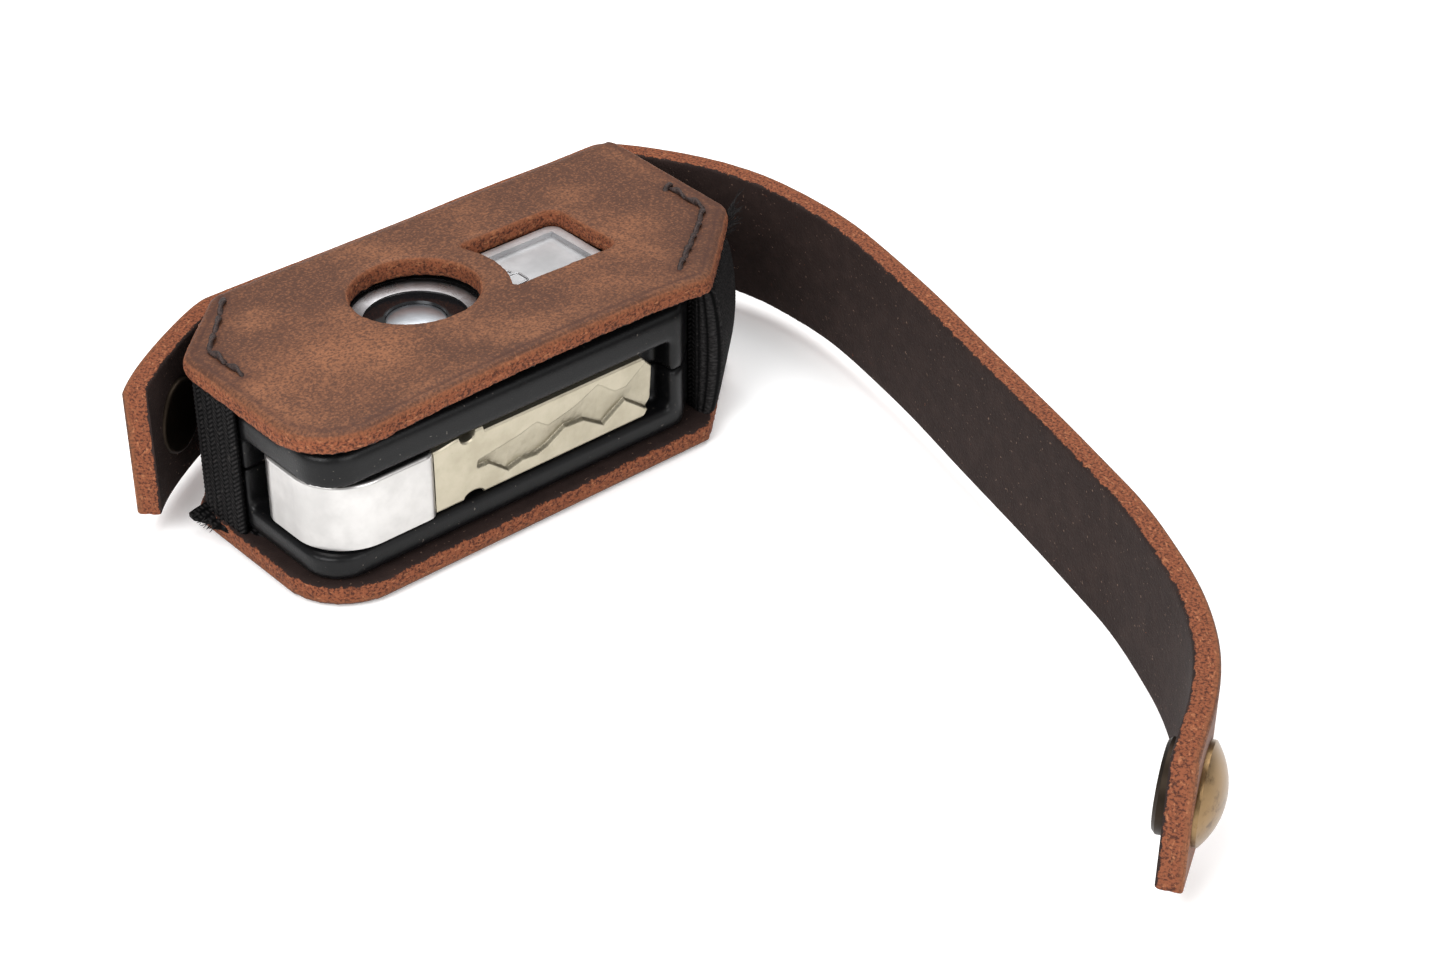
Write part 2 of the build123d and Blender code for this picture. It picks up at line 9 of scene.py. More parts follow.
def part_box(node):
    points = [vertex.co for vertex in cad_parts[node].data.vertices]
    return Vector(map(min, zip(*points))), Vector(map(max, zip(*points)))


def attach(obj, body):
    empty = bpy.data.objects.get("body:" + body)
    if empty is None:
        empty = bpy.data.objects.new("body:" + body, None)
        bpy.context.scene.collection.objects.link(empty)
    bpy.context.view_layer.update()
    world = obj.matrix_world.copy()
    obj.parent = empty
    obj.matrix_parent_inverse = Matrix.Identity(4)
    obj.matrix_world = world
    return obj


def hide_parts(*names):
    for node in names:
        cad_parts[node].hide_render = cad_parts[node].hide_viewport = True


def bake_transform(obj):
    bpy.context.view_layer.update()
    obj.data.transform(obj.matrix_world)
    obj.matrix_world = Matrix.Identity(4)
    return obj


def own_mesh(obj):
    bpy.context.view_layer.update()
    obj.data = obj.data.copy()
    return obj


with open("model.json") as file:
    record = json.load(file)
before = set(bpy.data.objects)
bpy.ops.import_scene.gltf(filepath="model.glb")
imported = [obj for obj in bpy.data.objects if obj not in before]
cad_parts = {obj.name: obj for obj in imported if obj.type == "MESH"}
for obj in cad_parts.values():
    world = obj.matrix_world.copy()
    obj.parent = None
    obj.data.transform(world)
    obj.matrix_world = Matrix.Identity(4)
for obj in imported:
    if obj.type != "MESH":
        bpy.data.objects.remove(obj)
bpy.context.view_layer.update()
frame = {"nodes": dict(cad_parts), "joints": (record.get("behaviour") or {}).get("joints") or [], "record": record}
mm = 0.001
print("frame loaded")


# ---- shader helpers ----

class Wire:
    # one output socket; arithmetic on it adds Math nodes to its tree
    def __init__(self, finish, socket):
        self.finish = finish
        self.socket = socket

    def math(self, operation, other, flipped=False):
        first, second = (other, self) if flipped else (self, other)
        return self.finish.add("ShaderNodeMath", {"operation": operation}, {0: first, 1: second})

    def __add__(self, other):
        return self.math("ADD", other)

    __radd__ = __add__

    def __sub__(self, other):
        return self.math("SUBTRACT", other)

    def __rsub__(self, other):
        return self.math("SUBTRACT", other, flipped=True)

    def __mul__(self, other):
        return self.math("MULTIPLY", other)

    __rmul__ = __mul__

    def step(self, low, high):
        # 0 below low, 1 above high, eased between
        sockets = {"Value": self, "From Min": low, "From Max": high}
        return self.finish.add("ShaderNodeMapRange", {"interpolation_type": "SMOOTHSTEP"}, sockets)


class Finish:
    # one material: its Principled shader and a way to add any node
    def __init__(self, name, **constants):
        self.material = bpy.data.materials.new(name)
        self.material.use_nodes = True
        self.tree = self.material.node_tree
        self.shader = self.tree.nodes["Principled BSDF"]
        for socket, value in constants.items():
            self.shader.inputs[socket.replace("_", " ")].default_value = value

    def add(self, kind, settings=None, sockets=None, out=0):
        node = self.tree.nodes.new(kind)
        for key, value in (settings or {}).items():
            setattr(node, key, value)
        for key, value in (sockets or {}).items():
            self.plug(value, node.inputs[key])
        return Wire(self, node.outputs[out])

    def plug(self, value, socket):
        if isinstance(value, Wire):
            self.tree.links.new(value.socket, socket)
        else:
            socket.default_value = value

    def set(self, **wires):
        for socket, wire in wires.items():
            self.plug(wire, self.shader.inputs[socket.replace("_", " ")])

    def objectPlace(self):
        return self.add("ShaderNodeTexCoord", out="Object")

    def attribute(self, name, out="Vector"):
        return self.add("ShaderNodeAttribute", {"attribute_name": name}, out=out)

    def noise(self, place, scale, detail, roughness, stretch=None):
        if stretch:
            place = self.add("ShaderNodeMapping", None, {"Vector": place, "Scale": stretch})
        sockets = {"Vector": place, "Scale": scale, "Detail": detail, "Roughness": roughness}
        return self.add("ShaderNodeTexNoise", None, sockets)

    def mix(self, factor, first, second):
        # the Mix node's sockets 6, 7 and output 2 are its colour ones
        sockets = {"Factor": factor, 6: asColour(first), 7: asColour(second)}
        return self.add("ShaderNodeMix", {"data_type": "RGBA"}, sockets, out=2)

    def bump(self, height, strength, distance):
        sockets = {"Height": height, "Strength": strength, "Distance": distance}
        return self.add("ShaderNodeBump", None, sockets)


def asColour(value):
    return value if isinstance(value, Wire) else (*value, 1)


# ---- finishes ----

hide = {
    "grain": (0.185, 0.072, 0.033), "dark": (0.058, 0.023, 0.013), "light": (0.300, 0.122, 0.056),
    "edge": (0.215, 0.066, 0.029), "fibre": (0.440, 0.180, 0.082), "deep": (0.058, 0.018, 0.010),
    "flesh": (0.0165, 0.0085, 0.0070), "nap": (0.029, 0.0165, 0.0135), "speck": (0.150, 0.095, 0.070),
    "worn": (0.050, 0.018, 0.011),
}


def hideFinish():
    # waxed hide: hideDepth is 0 on the grain side, 1 on the flesh side and between them on cut edges;
    # hideWear darkens pressed lines and handled places
    f = Finish("waxed_hide", Specular_IOR_Level=0.22)
    place = f.attribute("hidePlace")
    depth = f.attribute("hideDepth", out="Fac")
    wear = f.attribute("hideWear", out="Fac")
    clouds = f.noise(place, 48, 3, 0.5).step(0.36, 0.68)
    glow = f.noise(place, 85, 2, 0.5).step(0.46, 0.72)
    grit = f.noise(place, 3300, 2, 0.55)
    mottle = f.noise(place, 900, 3, 0.6)
    grain = f.mix(clouds * 0.78 + 0.22, hide["dark"], hide["grain"])
    grain = f.mix(glow * 0.38, grain, hide["light"])
    grain = f.mix(grit.step(0.52, 0.68) * 0.38, grain, hide["light"])
    grain = f.mix((1 - grit.step(0.36, 0.54)) * 0.72, grain, hide["dark"])
    grain = f.mix(mottle.step(0.50, 0.70) * 0.22, grain, hide["dark"])
    grain = f.mix(wear, grain, hide["worn"])
    fibres = f.noise(place, 3000, 3, 0.6)
    strands = f.noise(place, 2100, 4, 0.65, stretch=(0.5, 0.5, 1.0))
    edge = f.mix(fibres.step(0.36, 0.58), hide["deep"], hide["edge"])
    edge = f.mix(strands.step(0.54, 0.70) * 0.60, edge, hide["fibre"])
    burnish = 1 - (depth - 0.14).step(0.0, 0.16)
    edge = f.mix(burnish * 0.45, edge, hide["grain"])
    specks = f.noise(place, 2300, 2, 0.5).step(0.70, 0.735)
    nap = f.noise(place, 420, 3, 0.6).step(0.35, 0.75)
    flesh = f.mix(nap * 0.6, hide["flesh"], hide["nap"])
    flesh = f.mix(specks * 0.8, flesh, hide["speck"])
    wander = (f.noise(place, 700, 5, 0.75) - 0.5) * 0.42
    isCut = (depth + wander * 0.10).step(0.045, 0.10)
    isFlesh = (depth + wander).step(0.90, 0.93)
    colour = f.mix(isCut, grain, edge)
    colour = f.mix(isFlesh, colour, flesh)
    f.set(Base_Color=colour, Roughness=0.54 + grit * 0.14 + isCut * 0.24)
    height = mottle * 0.25 + grit * 0.30 + isCut * (fibres * 1.1 + strands * 0.8)
    f.set(Normal=f.bump(height, 0.55, 0.00018))
    return f.material


waxedThread = {"dark": (0.010, 0.0055, 0.005), "light": (0.052, 0.029, 0.024)}


def threadFinish():
    f = Finish("waxed_thread", Specular_IOR_Level=0.35)
    fuzz = f.noise(f.objectPlace(), 4200, 3, 0.6)
    f.set(Base_Color=f.mix(fuzz.step(0.35, 0.7), waxedThread["dark"], waxedThread["light"]))
    f.set(Roughness=0.45 + fuzz * 0.3, Normal=f.bump(fuzz, 0.5, 0.0001))
    return f.material


# the first colour is near-black painted shade for the gaps between threads
ribbon = {"gapShade": (0.0008, 0.0008, 0.0009), "dark": (0.0080, 0.0076, 0.0078),
          "light": (0.034, 0.032, 0.032), "lint": (0.09, 0.08, 0.075)}


def elasticFinish():
    # black woven ribbon: weaveRidge is 1 on top of a thread and 0 in the gaps between threads, which are painted
    # near black as shade
    f = Finish("woven_elastic", Specular_IOR_Level=0.05)
    weave = f.attribute("weavePlace")
    ridge = f.attribute("weaveRidge", out="Fac")
    fuzz = f.noise(weave, 3600, 3, 0.65)
    lint = f.noise(weave, 1100, 2, 0.5).step(0.64, 0.70)
    thread = f.mix(fuzz.step(0.35, 0.75), ribbon["dark"], ribbon["light"])
    # painted shade in the gaps between threads
    base = f.mix(ridge.step(0.25, 0.90), ribbon["gapShade"], thread)
    f.set(Base_Color=f.mix(lint * 0.18, base, ribbon["lint"]))
    f.set(Roughness=0.58 + fuzz * 0.25, Normal=f.bump(fuzz, 0.5, 0.0001))
    return f.material


moulded = {"plastic": (0.0034, 0.0034, 0.0037), "dust": (0.16, 0.14, 0.12)}


def housingFinish():
    # moulded plastic with a fine spark texture and a little dust
    f = Finish("satin_housing", Specular_IOR_Level=0.20)
    grit = f.noise(f.objectPlace(), 5200, 2, 0.5)
    dust = f.noise(f.objectPlace(), 2100, 2, 0.4).step(0.735, 0.755)
    f.set(Base_Color=f.mix(dust * 0.5, moulded["plastic"], moulded["dust"]))
    f.set(Roughness=0.26 + grit * 0.16, Normal=f.bump(grit, 0.40, 0.00006))
    return f.material


def metalFinish(name, colour, rough, wear=0.1, dirt=None):
    # metal a little duller in smears, scuffed by wear, with dirt in patches where it is given
    f = Finish(name, Metallic=1.0)
    place = f.objectPlace()
    smear = f.noise(place, 160, 4, 0.6)
    lines = f.noise(place, 900, 3, 0.6)
    shade = [channel * 0.78 for channel in colour]
    base = f.mix(smear.step(0.3, 0.7), shade, colour)
    if dirt:
        base = f.mix(f.noise(place, 420, 5, 0.7).step(0.52, 0.70), base, dirt)
    f.set(Base_Color=base, Roughness=rough + smear * wear + lines * wear * 0.6)
    f.set(Normal=f.bump(lines, 0.18, 0.00003))
    return f.material


# the last two colours are the painted shade of the milled track's walls and floor
bladeStock = {"dull": (0.390, 0.350, 0.262), "bright": (0.480, 0.435, 0.335), "pit": (0.24, 0.205, 0.145),
              "wallShadeDark": (0.040, 0.036, 0.024), "wallShadeGrey": (0.150, 0.138, 0.100)}


def nickelFinish():
    # blade stock: a per-point attribute paints shade that darkens the milled walls and the deep floor of the track
    f = Finish("milled_nickel", Metallic=0.85, Specular_IOR_Level=0.5)
    place = f.objectPlace()
    wallShade = f.attribute("bladeWallShade", out="Fac")
    cloud = f.noise(place, 260, 4, 0.6)
    grit = f.noise(place, 3000, 3, 0.7)
    lines = f.noise(place, 2200, 3, 0.6, stretch=(1, 1, 0.15))
    base = f.mix(cloud.step(0.3, 0.7), bladeStock["dull"], bladeStock["bright"])
    base = f.mix(grit.step(0.62, 0.72) * 0.35, base, bladeStock["pit"])
    # painted shade colour for the milled track, broken up by grit
    dark = f.mix(grit.step(0.40, 0.62), bladeStock["wallShadeDark"], bladeStock["wallShadeGrey"])
    f.set(Base_Color=f.mix(wallShade, base, dark), Roughness=0.34 + cloud * 0.10 + wallShade * 0.12)
    f.set(Normal=f.bump(lines + wallShade * grit * 2.0, 0.22, 0.00004))
    return f.material


def plainFinish(name, colour, rough, metal=0.0):
    # one colour with faint fine mottling
    f = Finish(name, Metallic=metal)
    noise = f.noise(f.objectPlace(), 1500, 3, 0.6)
    shade = [channel * 0.7 for channel in colour]
    f.set(Base_Color=f.mix(noise, shade, colour), Roughness=rough + noise * 0.12)
    f.set(Normal=f.bump(noise, 0.2, 0.00003))
    return f.material


finishes = {
    "hide": hideFinish(),
    "thread": threadFinish(),
    "elastic": elasticFinish(),
    "housing": housingFinish(),
    "glossBlack": plainFinish("gloss_black", (0.008, 0.008, 0.009), 0.06),
    "satinChrome": metalFinish("satin_chrome", (0.42, 0.42, 0.43), 0.20),
    "hubPolish": metalFinish("hub_polish", (0.60, 0.585, 0.57), 0.26, 0.05),
    "nickel": nickelFinish(),
    "antiqueBrass": metalFinish("antique_brass", (0.245, 0.158, 0.076), 0.22, 0.14,
                                dirt=(0.105, 0.064, 0.032)),
    "darkBrass": metalFinish("dark_brass", (0.034, 0.025, 0.018), 0.36, 0.16),
    "steel": metalFinish("plain_steel", (0.56, 0.57, 0.59), 0.28),
    "boardGreen": plainFinish("board_green", (0.015, 0.14, 0.05), 0.32),
    "copper": plainFinish("copper_winding", (0.62, 0.27, 0.12), 0.30, 1.0),
    "seal": plainFinish("seal_rubber", (0.016, 0.016, 0.016), 0.62),
    "badge": metalFinish("badge_satin", (0.66, 0.69, 0.73), 0.24, 0.08),
    "buttonSilver": metalFinish("button_silver", (0.66, 0.66, 0.67), 0.36, 0.06),
}
print("finishes made")


# ---- mesh helpers ----

def ripple(points, wavelength, seed, waves=14):
    # sum of sines along random directions, about -1 to 1; points in metres
    chance = np.random.default_rng(seed)
    directions = chance.normal(size=(waves, points.shape[-1]))
    directions /= np.linalg.norm(directions, axis=1)[:, None]
    rates = 2 * pi / (wavelength * chance.uniform(0.6, 1.6, waves))
    turns = points @ (directions * rates[:, None]).T + chance.uniform(0, 2 * pi, waves)
    return np.sin(turns).sum(axis=-1) / np.sqrt(waves)


def eased(value, low, high):
    t = np.clip((value - low) / (high - low), 0, 1)
    return t * t * (3 - 2 * t)


def newPiece(name, points, faces, finish, sharp=40):
    mesh = bpy.data.meshes.new(name)
    mesh.from_pydata(np.asarray(points, float).tolist(), [], faces)
    mesh.update()
    mesh.shade_smooth()
    mesh.set_sharp_from_angle(angle=radians(sharp))
    mesh.materials.append(finishes[finish])
    piece = bpy.data.objects.new(name, mesh)
    bpy.context.scene.collection.objects.link(piece)
    return piece


def addAttribute(piece, name, kind, values):
    layer = piece.data.attributes.new(name, kind, "POINT")
    field = "vector" if kind == "FLOAT_VECTOR" else "value"
    layer.data.foreach_set(field, np.asarray(values, np.float32).ravel())


def loftFaces(stations, around):
    # quads between neighbouring loops of a grid of stations x around points, with a face over each end
    i, j = np.meshgrid(np.arange(stations - 1), np.arange(around), indexing="ij")
    k = (j + 1) % around
    quads = np.stack([i * around + j, i * around + k, (i + 1) * around + k, (i + 1) * around + j], -1)
    ends = [list(range(around))[::-1], [(stations - 1) * around + j for j in range(around)]]
    return quads.reshape(-1, 4).tolist() + ends


def gridFaces(rows, columns):
    # quads between neighbouring points of a grid numbered row by row
    i, j = np.meshgrid(np.arange(rows - 1), np.arange(columns - 1), indexing="ij")
    first = i * columns + j
    quads = np.stack([first, first + 1, first + columns + 1, first + columns], -1)
    return quads.reshape(-1, 4).tolist()


def tube(points, radii, around=10, twist=0.0, lobes=0, lobeDepth=0.0):
    # circles of given radii carried along a line of points; each radius is multiplied by
    # 1 + lobeDepth cos(lobes angle + twist s), where s goes from 0 to 1 along the line
    points = np.asarray(points, float)
    along = np.gradient(points, axis=0)
    along /= np.linalg.norm(along, axis=1)[:, None]
    up = np.array([0, 0, 1.0]) if abs(along[:, 2]).mean() < 0.8 else np.array([1.0, 0, 0])
    side = np.cross(along, up)
    side /= np.linalg.norm(side, axis=1)[:, None]
    over = np.cross(side, along)
    angle = np.linspace(0, 2 * pi, around, endpoint=False)
    s = np.linspace(0, 1, len(points))[:, None]
    r = np.asarray(radii)[:, None] * (1 + lobeDepth * np.cos(lobes * angle + twist * s))
    spokes = np.cos(angle)[:, None] * side[:, None] + np.sin(angle)[:, None] * over[:, None]
    rings = points[:, None] + r[..., None] * spokes
    return rings.reshape(-1, 3), loftFaces(len(points), around)


def joined(parts):
    # several (points, faces) sets made into one
    points, faces, count = [], [], 0
    for somePoints, someFaces in parts:
        points.append(somePoints)
        faces += [[index + count for index in face] for face in someFaces]
        count += len(somePoints)
    return np.vstack(points), faces


def remeshed(node, voxel, smoothing):
    # a copy of a CAD node's mesh, merged, made into even small faces and softened
    source = bpy.data.objects.new("source", frame["nodes"][node].data.copy())
    bpy.context.scene.collection.objects.link(source)
    work = bmesh.new()
    work.from_mesh(source.data)
    bmesh.ops.remove_doubles(work, verts=work.verts, dist=1e-6)
    work.to_mesh(source.data)
    work.free()
    even = source.modifiers.new("even", "REMESH")
    even.mode, even.voxel_size = "VOXEL", voxel
    soften = source.modifiers.new("soften", "SMOOTH")
    soften.factor, soften.iterations = 0.5, smoothing
    bpy.context.view_layer.update()
    evaluated = source.evaluated_get(bpy.context.evaluated_depsgraph_get())
    mesh = bpy.data.meshes.new_from_object(evaluated)
    bpy.data.objects.remove(source)
    count = len(mesh.vertices)
    points = np.empty(count * 3, np.float32)
    mesh.vertices.foreach_get("co", points)
    normals = np.empty(count * 3, np.float32)
    mesh.vertex_normals.foreach_get("vector", normals)
    return mesh, points.reshape(-1, 3).astype(float), normals.reshape(-1, 3).astype(float)


def placeMesh(name, mesh, points, finish, sharp=60):
    mesh.vertices.foreach_set("co", points.astype(np.float32).ravel())
    mesh.update()
    mesh.name = name
    mesh.materials.clear()
    mesh.materials.append(finishes[finish])
    mesh.shade_smooth()
    mesh.set_sharp_from_angle(angle=radians(sharp))
    piece = bpy.data.objects.new(name, mesh)
    bpy.context.scene.collection.objects.link(piece)
    return piece


# ---- camera and light ----

view = {"azimuth": -41.853, "elevation": 34.342, "roll": 0.412, "lens": 70.86, "sensor": 36,
        "nearest": 0.01, "place": (-0.17545, -0.24135, 0.1969)}


def addCamera():
    a, e, r = (radians(view[key]) for key in ("azimuth", "elevation", "roll"))
    look = Vector((-sin(a) * cos(e), cos(a) * cos(e), -sin(e)))
    right = Vector((cos(a), sin(a), 0))
    up = right.cross(look)
    tiltedRight, tiltedUp = right * cos(r) + up * sin(r), up * cos(r) - right * sin(r)
    data = bpy.data.cameras.new("camera")
    data.lens, data.sensor_width, data.clip_start = view["lens"], view["sensor"], view["nearest"]
    camera = bpy.data.objects.new("camera", data)
    turned = Matrix((tiltedRight, tiltedUp, -look)).transposed().to_4x4()
    camera.matrix_world = Matrix.Translation(view["place"]) @ turned
    bpy.context.scene.collection.objects.link(camera)
    bpy.context.scene.camera = camera


lamps = [   # name, place, target, size, watts
    ("left_softbox", (-0.45, -0.10, 0.42), (0, 0, 0.01), 0.40, 3.3),
    ("front_softbox", (0.05, -0.60, 0.30), (0, -0.03, 0.01), 0.40, 2.0),
    ("top_softbox", (0.15, 0.15, 0.60), (0, 0, 0), 0.50, 3.4),
]


studio = {"worldLight": 0.40, "floorTone": 0.95, "floorGlow": 0.15, "floorReach": 3.0,
          "floorDrop": 0.2 * mm}


def addLight():
    for name, place, target, size, watts in lamps:
        data = bpy.data.lights.new(name, "AREA")
        data.size, data.energy = size, watts
        lamp = bpy.data.objects.new(name, data)
        lamp.location = place
        lamp.rotation_euler = (Vector(target) - Vector(place)).to_track_quat("-Z", "Y").to_euler()
        bpy.context.scene.collection.objects.link(lamp)
    world = bpy.data.worlds.new("studio")
    world.use_nodes = True
    world.node_tree.nodes["Background"].inputs["Color"].default_value = (1, 1, 1, 1)
    world.node_tree.nodes["Background"].inputs["Strength"].default_value = studio["worldLight"]
    bpy.context.scene.world = world
    bpy.context.scene.view_settings.view_transform = "Standard"


def addFloor():
    glow, tone, reach = studio["floorGlow"], studio["floorTone"], studio["floorReach"]
    f = Finish("pale_floor", Roughness=0.9, Specular_IOR_Level=0.1, Emission_Strength=glow)
    f.set(Base_Color=(tone, tone, tone, 1), Emission_Color=(1, 1, 1, 1))
    finishes["floor"] = f.material
    corners = [(-reach, -reach, 0), (reach, -reach, 0), (reach, reach, 0), (-reach, reach, 0)]
    floor = newPiece("floor", corners, [[0, 1, 2, 3]], "floor")
    floor.location = (0, 0, -studio["floorDrop"])


addCamera()
addLight()
addFloor()
print("camera, light and floor placed")


# ---- sizes read from the frame ----

caseLow, caseHigh = (np.array(corner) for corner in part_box("leather_wrap"))
strapLow, strapHigh = (np.array(corner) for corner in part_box("strap_back"))
joints = {joint["name"]: joint for joint in frame["joints"]}
strapNames = ["strap_swing", "strap_bend_2", "strap_bend_3", "strap_bend_4", "strap_curl",
              "strap_bend_6", "strap_bend_7", "strap_bend_8", "strap_bend_9"]
strapHinges = [np.array(joints[name]["pos_m"][:2]) for name in strapNames]
tabHinge = np.array(joints["tab_flex"]["pos_m"][:2])


# ---- leather wrap ----

wrap = {"voxel": 0.42 * mm, "smoothing": 4, "thickness": 2.8 * mm, "bend": 3.4 * mm,
        "rise": 1.5 * mm, "rightDrop": 1.0 * mm, "fibre": 0.05 * mm, "grain": 0.02 * mm,
        "leftChamfer": (12.2 * mm, 11.25 * mm), "rightChamfer": (14.75 * mm, 13.25 * mm),
        "frontRadius": 8.5 * mm, "groove": 1.3 * mm, "grooveDepth": 0.13 * mm, "grooveWidth": 0.24 * mm,
        "edgeFall": 0.30 * mm, "rubFrom": 0.2 * mm, "rubTo": 2.5 * mm}

seam = {"inset": 3.1 * mm, "pitch": 3.7 * mm, "radius": 0.36 * mm, "sink": 0.07 * mm, "points": 15,
        "twist": 9.0, "plyDepth": 0.30, "dimple": 0.16 * mm, "dimpleRadius": 0.55 * mm,
        "creaseRadius": 2.2 * mm, "leftFront": -0.6 * mm, "leftBack": (0.9 * mm, 0.4 * mm),
        "rightFront": (2.2 * mm, 0.2 * mm), "rightBack": 2.3 * mm, "knot": (1.1 * mm, 0.5 * mm)}


def hideDepth(points):
    # distance from the outside of the folded section, over the hide's thickness:
    # the nearest of the bottom, the top and the spine, or the round bend's own distance
    y, z = points[:, 1], points[:, 2]
    height, spine, bend = caseHigh[2], caseHigh[1], wrap["bend"]
    depth = np.minimum(np.minimum(z, height - z), spine - y)
    fromFold = np.minimum(z, height - z)
    inBend = (y > spine - bend) & (fromFold < bend)
    bentDepth = bend - np.hypot(y - (spine - bend), bend - fromFold)
    return np.clip(np.where(inBend, bentDepth, depth) / wrap["thickness"], 0, 1)


def panelLift(points):
    # the top panel bows up along its open edge and is pulled down at its right end
    x, y, z = points.T
    half = caseHigh[0]
    fromSpine = np.clip((caseHigh[1] - y) / (caseHigh[1] - caseLow[1]), 0, 1)
    bow = wrap["rise"] * (1 - (x / half) ** 2) * fromSpine ** 1.3
    drop = wrap["rightDrop"] * eased(x, 0.35 * half, half) * fromSpine
    return (bow - drop) * eased(z, 0.5 * caseHigh[2], 0.85 * caseHigh[2])


def seamLine(side):
    # the seam's corner points, an inset inside the outline's side and chamfer
    inset = seam["inset"]
    x, y = caseHigh[0], caseHigh[1]
    if side == "left":
        run, rise = wrap["leftChamfer"]
        slope = inset * (np.hypot(run, rise) - run) / rise
        short, low = seam["leftBack"]
        return [(-x + inset, seam["leftFront"]), (-x + inset, y - rise - slope),
                (-x + run - short, y - inset - low)]
    run, rise = wrap["rightChamfer"]
    slope = inset * (np.hypot(run, rise) - run) / rise
    past, above = seam["rightFront"]
    return [(x - run - past, -y + inset + above), (x - inset, -y + rise + slope),
            (x - inset, seam["rightBack"])]


def seamHoles(line):
    # holes a stitch apart along each stretch of a seam's line
    holes = []
    for start, end in zip(line, line[1:]):
        start, end = np.array(start), np.array(end)
        count = max(round(np.linalg.norm(end - start) / seam["pitch"]), 1)
        holes += [start + (end - start) * i / count for i in range(count)]
    return holes + [np.array(line[-1])]


def outlineDistance(x, y):
    # how far a point is inside the panel's outline: the least of its distances to the three open
    # sides and the two chamfers, with the front left corner measured from its arc's centre
    halfX, halfY = caseHigh[0], caseHigh[1]
    distance = np.minimum(np.minimum(x + halfX, halfX - x), y + halfY)
    run, rise = wrap["leftChamfer"]
    left = ((x + halfX) * rise - (y - (halfY - rise)) * run) / np.hypot(run, rise)
    run, rise = wrap["rightChamfer"]
    right = ((halfX - x) * rise + (y + halfY - rise) * run) / np.hypot(run, rise)
    r = wrap["frontRadius"]
    centreX, centreY = r - halfX, r - halfY
    corner = r - np.hypot(x - centreX, y - centreY)
    inCorner = (x < centreX) & (y < centreY)
    return np.minimum(np.where(inCorner, corner, distance), np.minimum(left, right))


def addWrap():
    # the CAD hide with fibrous cut edges, a pressed groove inside its rim, rims rubbed down and
    # dimples at the holes; heights then shift by the top panel's lift
    mesh, points, normals = remeshed("leather_wrap", wrap["voxel"], wrap["smoothing"])
    depth = hideDepth(points)
    cut = eased(depth, 0.03, 0.15) * (1 - eased(depth, 0.9, 1.0))
    push = cut * wrap["fibre"] * (ripple(points, 0.9 * mm, 3) + 0.8 * ripple(points, 2.6 * mm, 4))
    push += (1 - cut) * wrap["grain"] * ripple(points, 3.5 * mm, 5)
    inside = (points[:, 2] > 0.05 * mm) | (depth > 0.1)
    moved = points + normals * (push * inside)[:, None]
    distance = outlineDistance(points[:, 0], points[:, 1])
    groove = np.exp(-((distance - wrap["groove"]) / wrap["grooveWidth"]) ** 2) * (depth < 0.12)
    side = np.where(points[:, 2] > caseHigh[2] / 2, 1, -1)
    fall = wrap["edgeFall"] * (1 - eased(distance, 0, wrap["groove"])) ** 2 * (depth < 0.5)
    holes = np.array(seamHoles(seamLine("left")) + seamHoles(seamLine("right")))
    toHole = np.linalg.norm(points[:, None, :2] - holes[None], axis=2).min(axis=1)
    dimple = np.exp(-(toHole / seam["dimpleRadius"]) ** 2) * (depth < 0.12)
    moved[:, 2] -= side * (groove * wrap["grooveDepth"] + fall + dimple * seam["dimple"])
    moved[:, 2] += panelLift(points)
    moved[:, 2] = np.maximum(moved[:, 2], 0)
    piece = placeMesh("wrap_hide", mesh, moved, "hide")
    crease = 0.35 * np.exp(-(toHole / seam["creaseRadius"]) ** 2) * (depth < 0.12)
    rubbed = 0.30 * (1 - eased(distance, wrap["rubFrom"], wrap["rubTo"])) * (depth < 0.12)
    worn = np.clip(groove * 0.55 + rubbed + dimple * 0.5 + crease, 0, 1)
    addAttribute(piece, "hideWear", "FLOAT", worn)
    addAttribute(piece, "hideDepth", "FLOAT", depth)
    addAttribute(piece, "hidePlace", "FLOAT_VECTOR", points)
    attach(piece, "case")
    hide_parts("leather_wrap")


addWrap()
print("leather wrap made")


# ---- strap and tab ----

strap = {"round": 0.45 * mm, "stationGap": 0.45 * mm, "facePoints": 22, "edgePoints": 8,
         "fibre": 0.05 * mm, "wave": 0.25 * mm, "foldLead": 3.5 * mm, "tabLength": 20.0 * mm,
         "tabCurlAt": 15.5 * mm, "tabCurl": 17.0, "endSlice": 0.3 * mm}


def strapLoop():
    # the strap's section as points (outwards, height): a rounded rectangle with more points on its faces
    thick, tall = strapHigh[1] - strapLow[1], strapHigh[2] - strapLow[2]
    half, side, r = thick / 2, tall / 2, strap["round"]
    corners = [((half - r), (side - r), 0), (-(half - r), (side - r), 90),
               (-(half - r), -(side - r), 180), ((half - r), -(side - r), 270)]
    loop = []
    for (x, z, start), count in zip(corners, [strap["edgePoints"], strap["facePoints"]] * 2):
        arc = radians(start) + np.linspace(0, pi / 2, 4)
        loop += [(x + r * cos(a), z + r * sin(a)) for a in arc]
        following = corners[(corners.index((x, z, start)) + 1) % 4]
        end = radians(following[2])
        a = np.array(loop[-1])
        b = np.array((following[0] + r * cos(end), following[1] + r * sin(end)))
        loop += [tuple(a + (b - a) * t) for t in np.linspace(0, 1, count + 1, endpoint=False)[1:]]
    return np.array(loop)


def headingOf(vector):
    return vector / np.linalg.norm(vector)


def bendCurve(start, corner, end, count):
    # quadratic curve from start to end, tangent at both to the lines to the corner
    t = np.linspace(0, 1, count)[:, None]
    points = (1 - t) ** 2 * start + 2 * t * (1 - t) * corner + t ** 2 * end
    tangents = 2 * (1 - t) * (corner - start) + 2 * t * (end - corner)
    return points, tangents / np.linalg.norm(tangents, axis=1)[:, None]


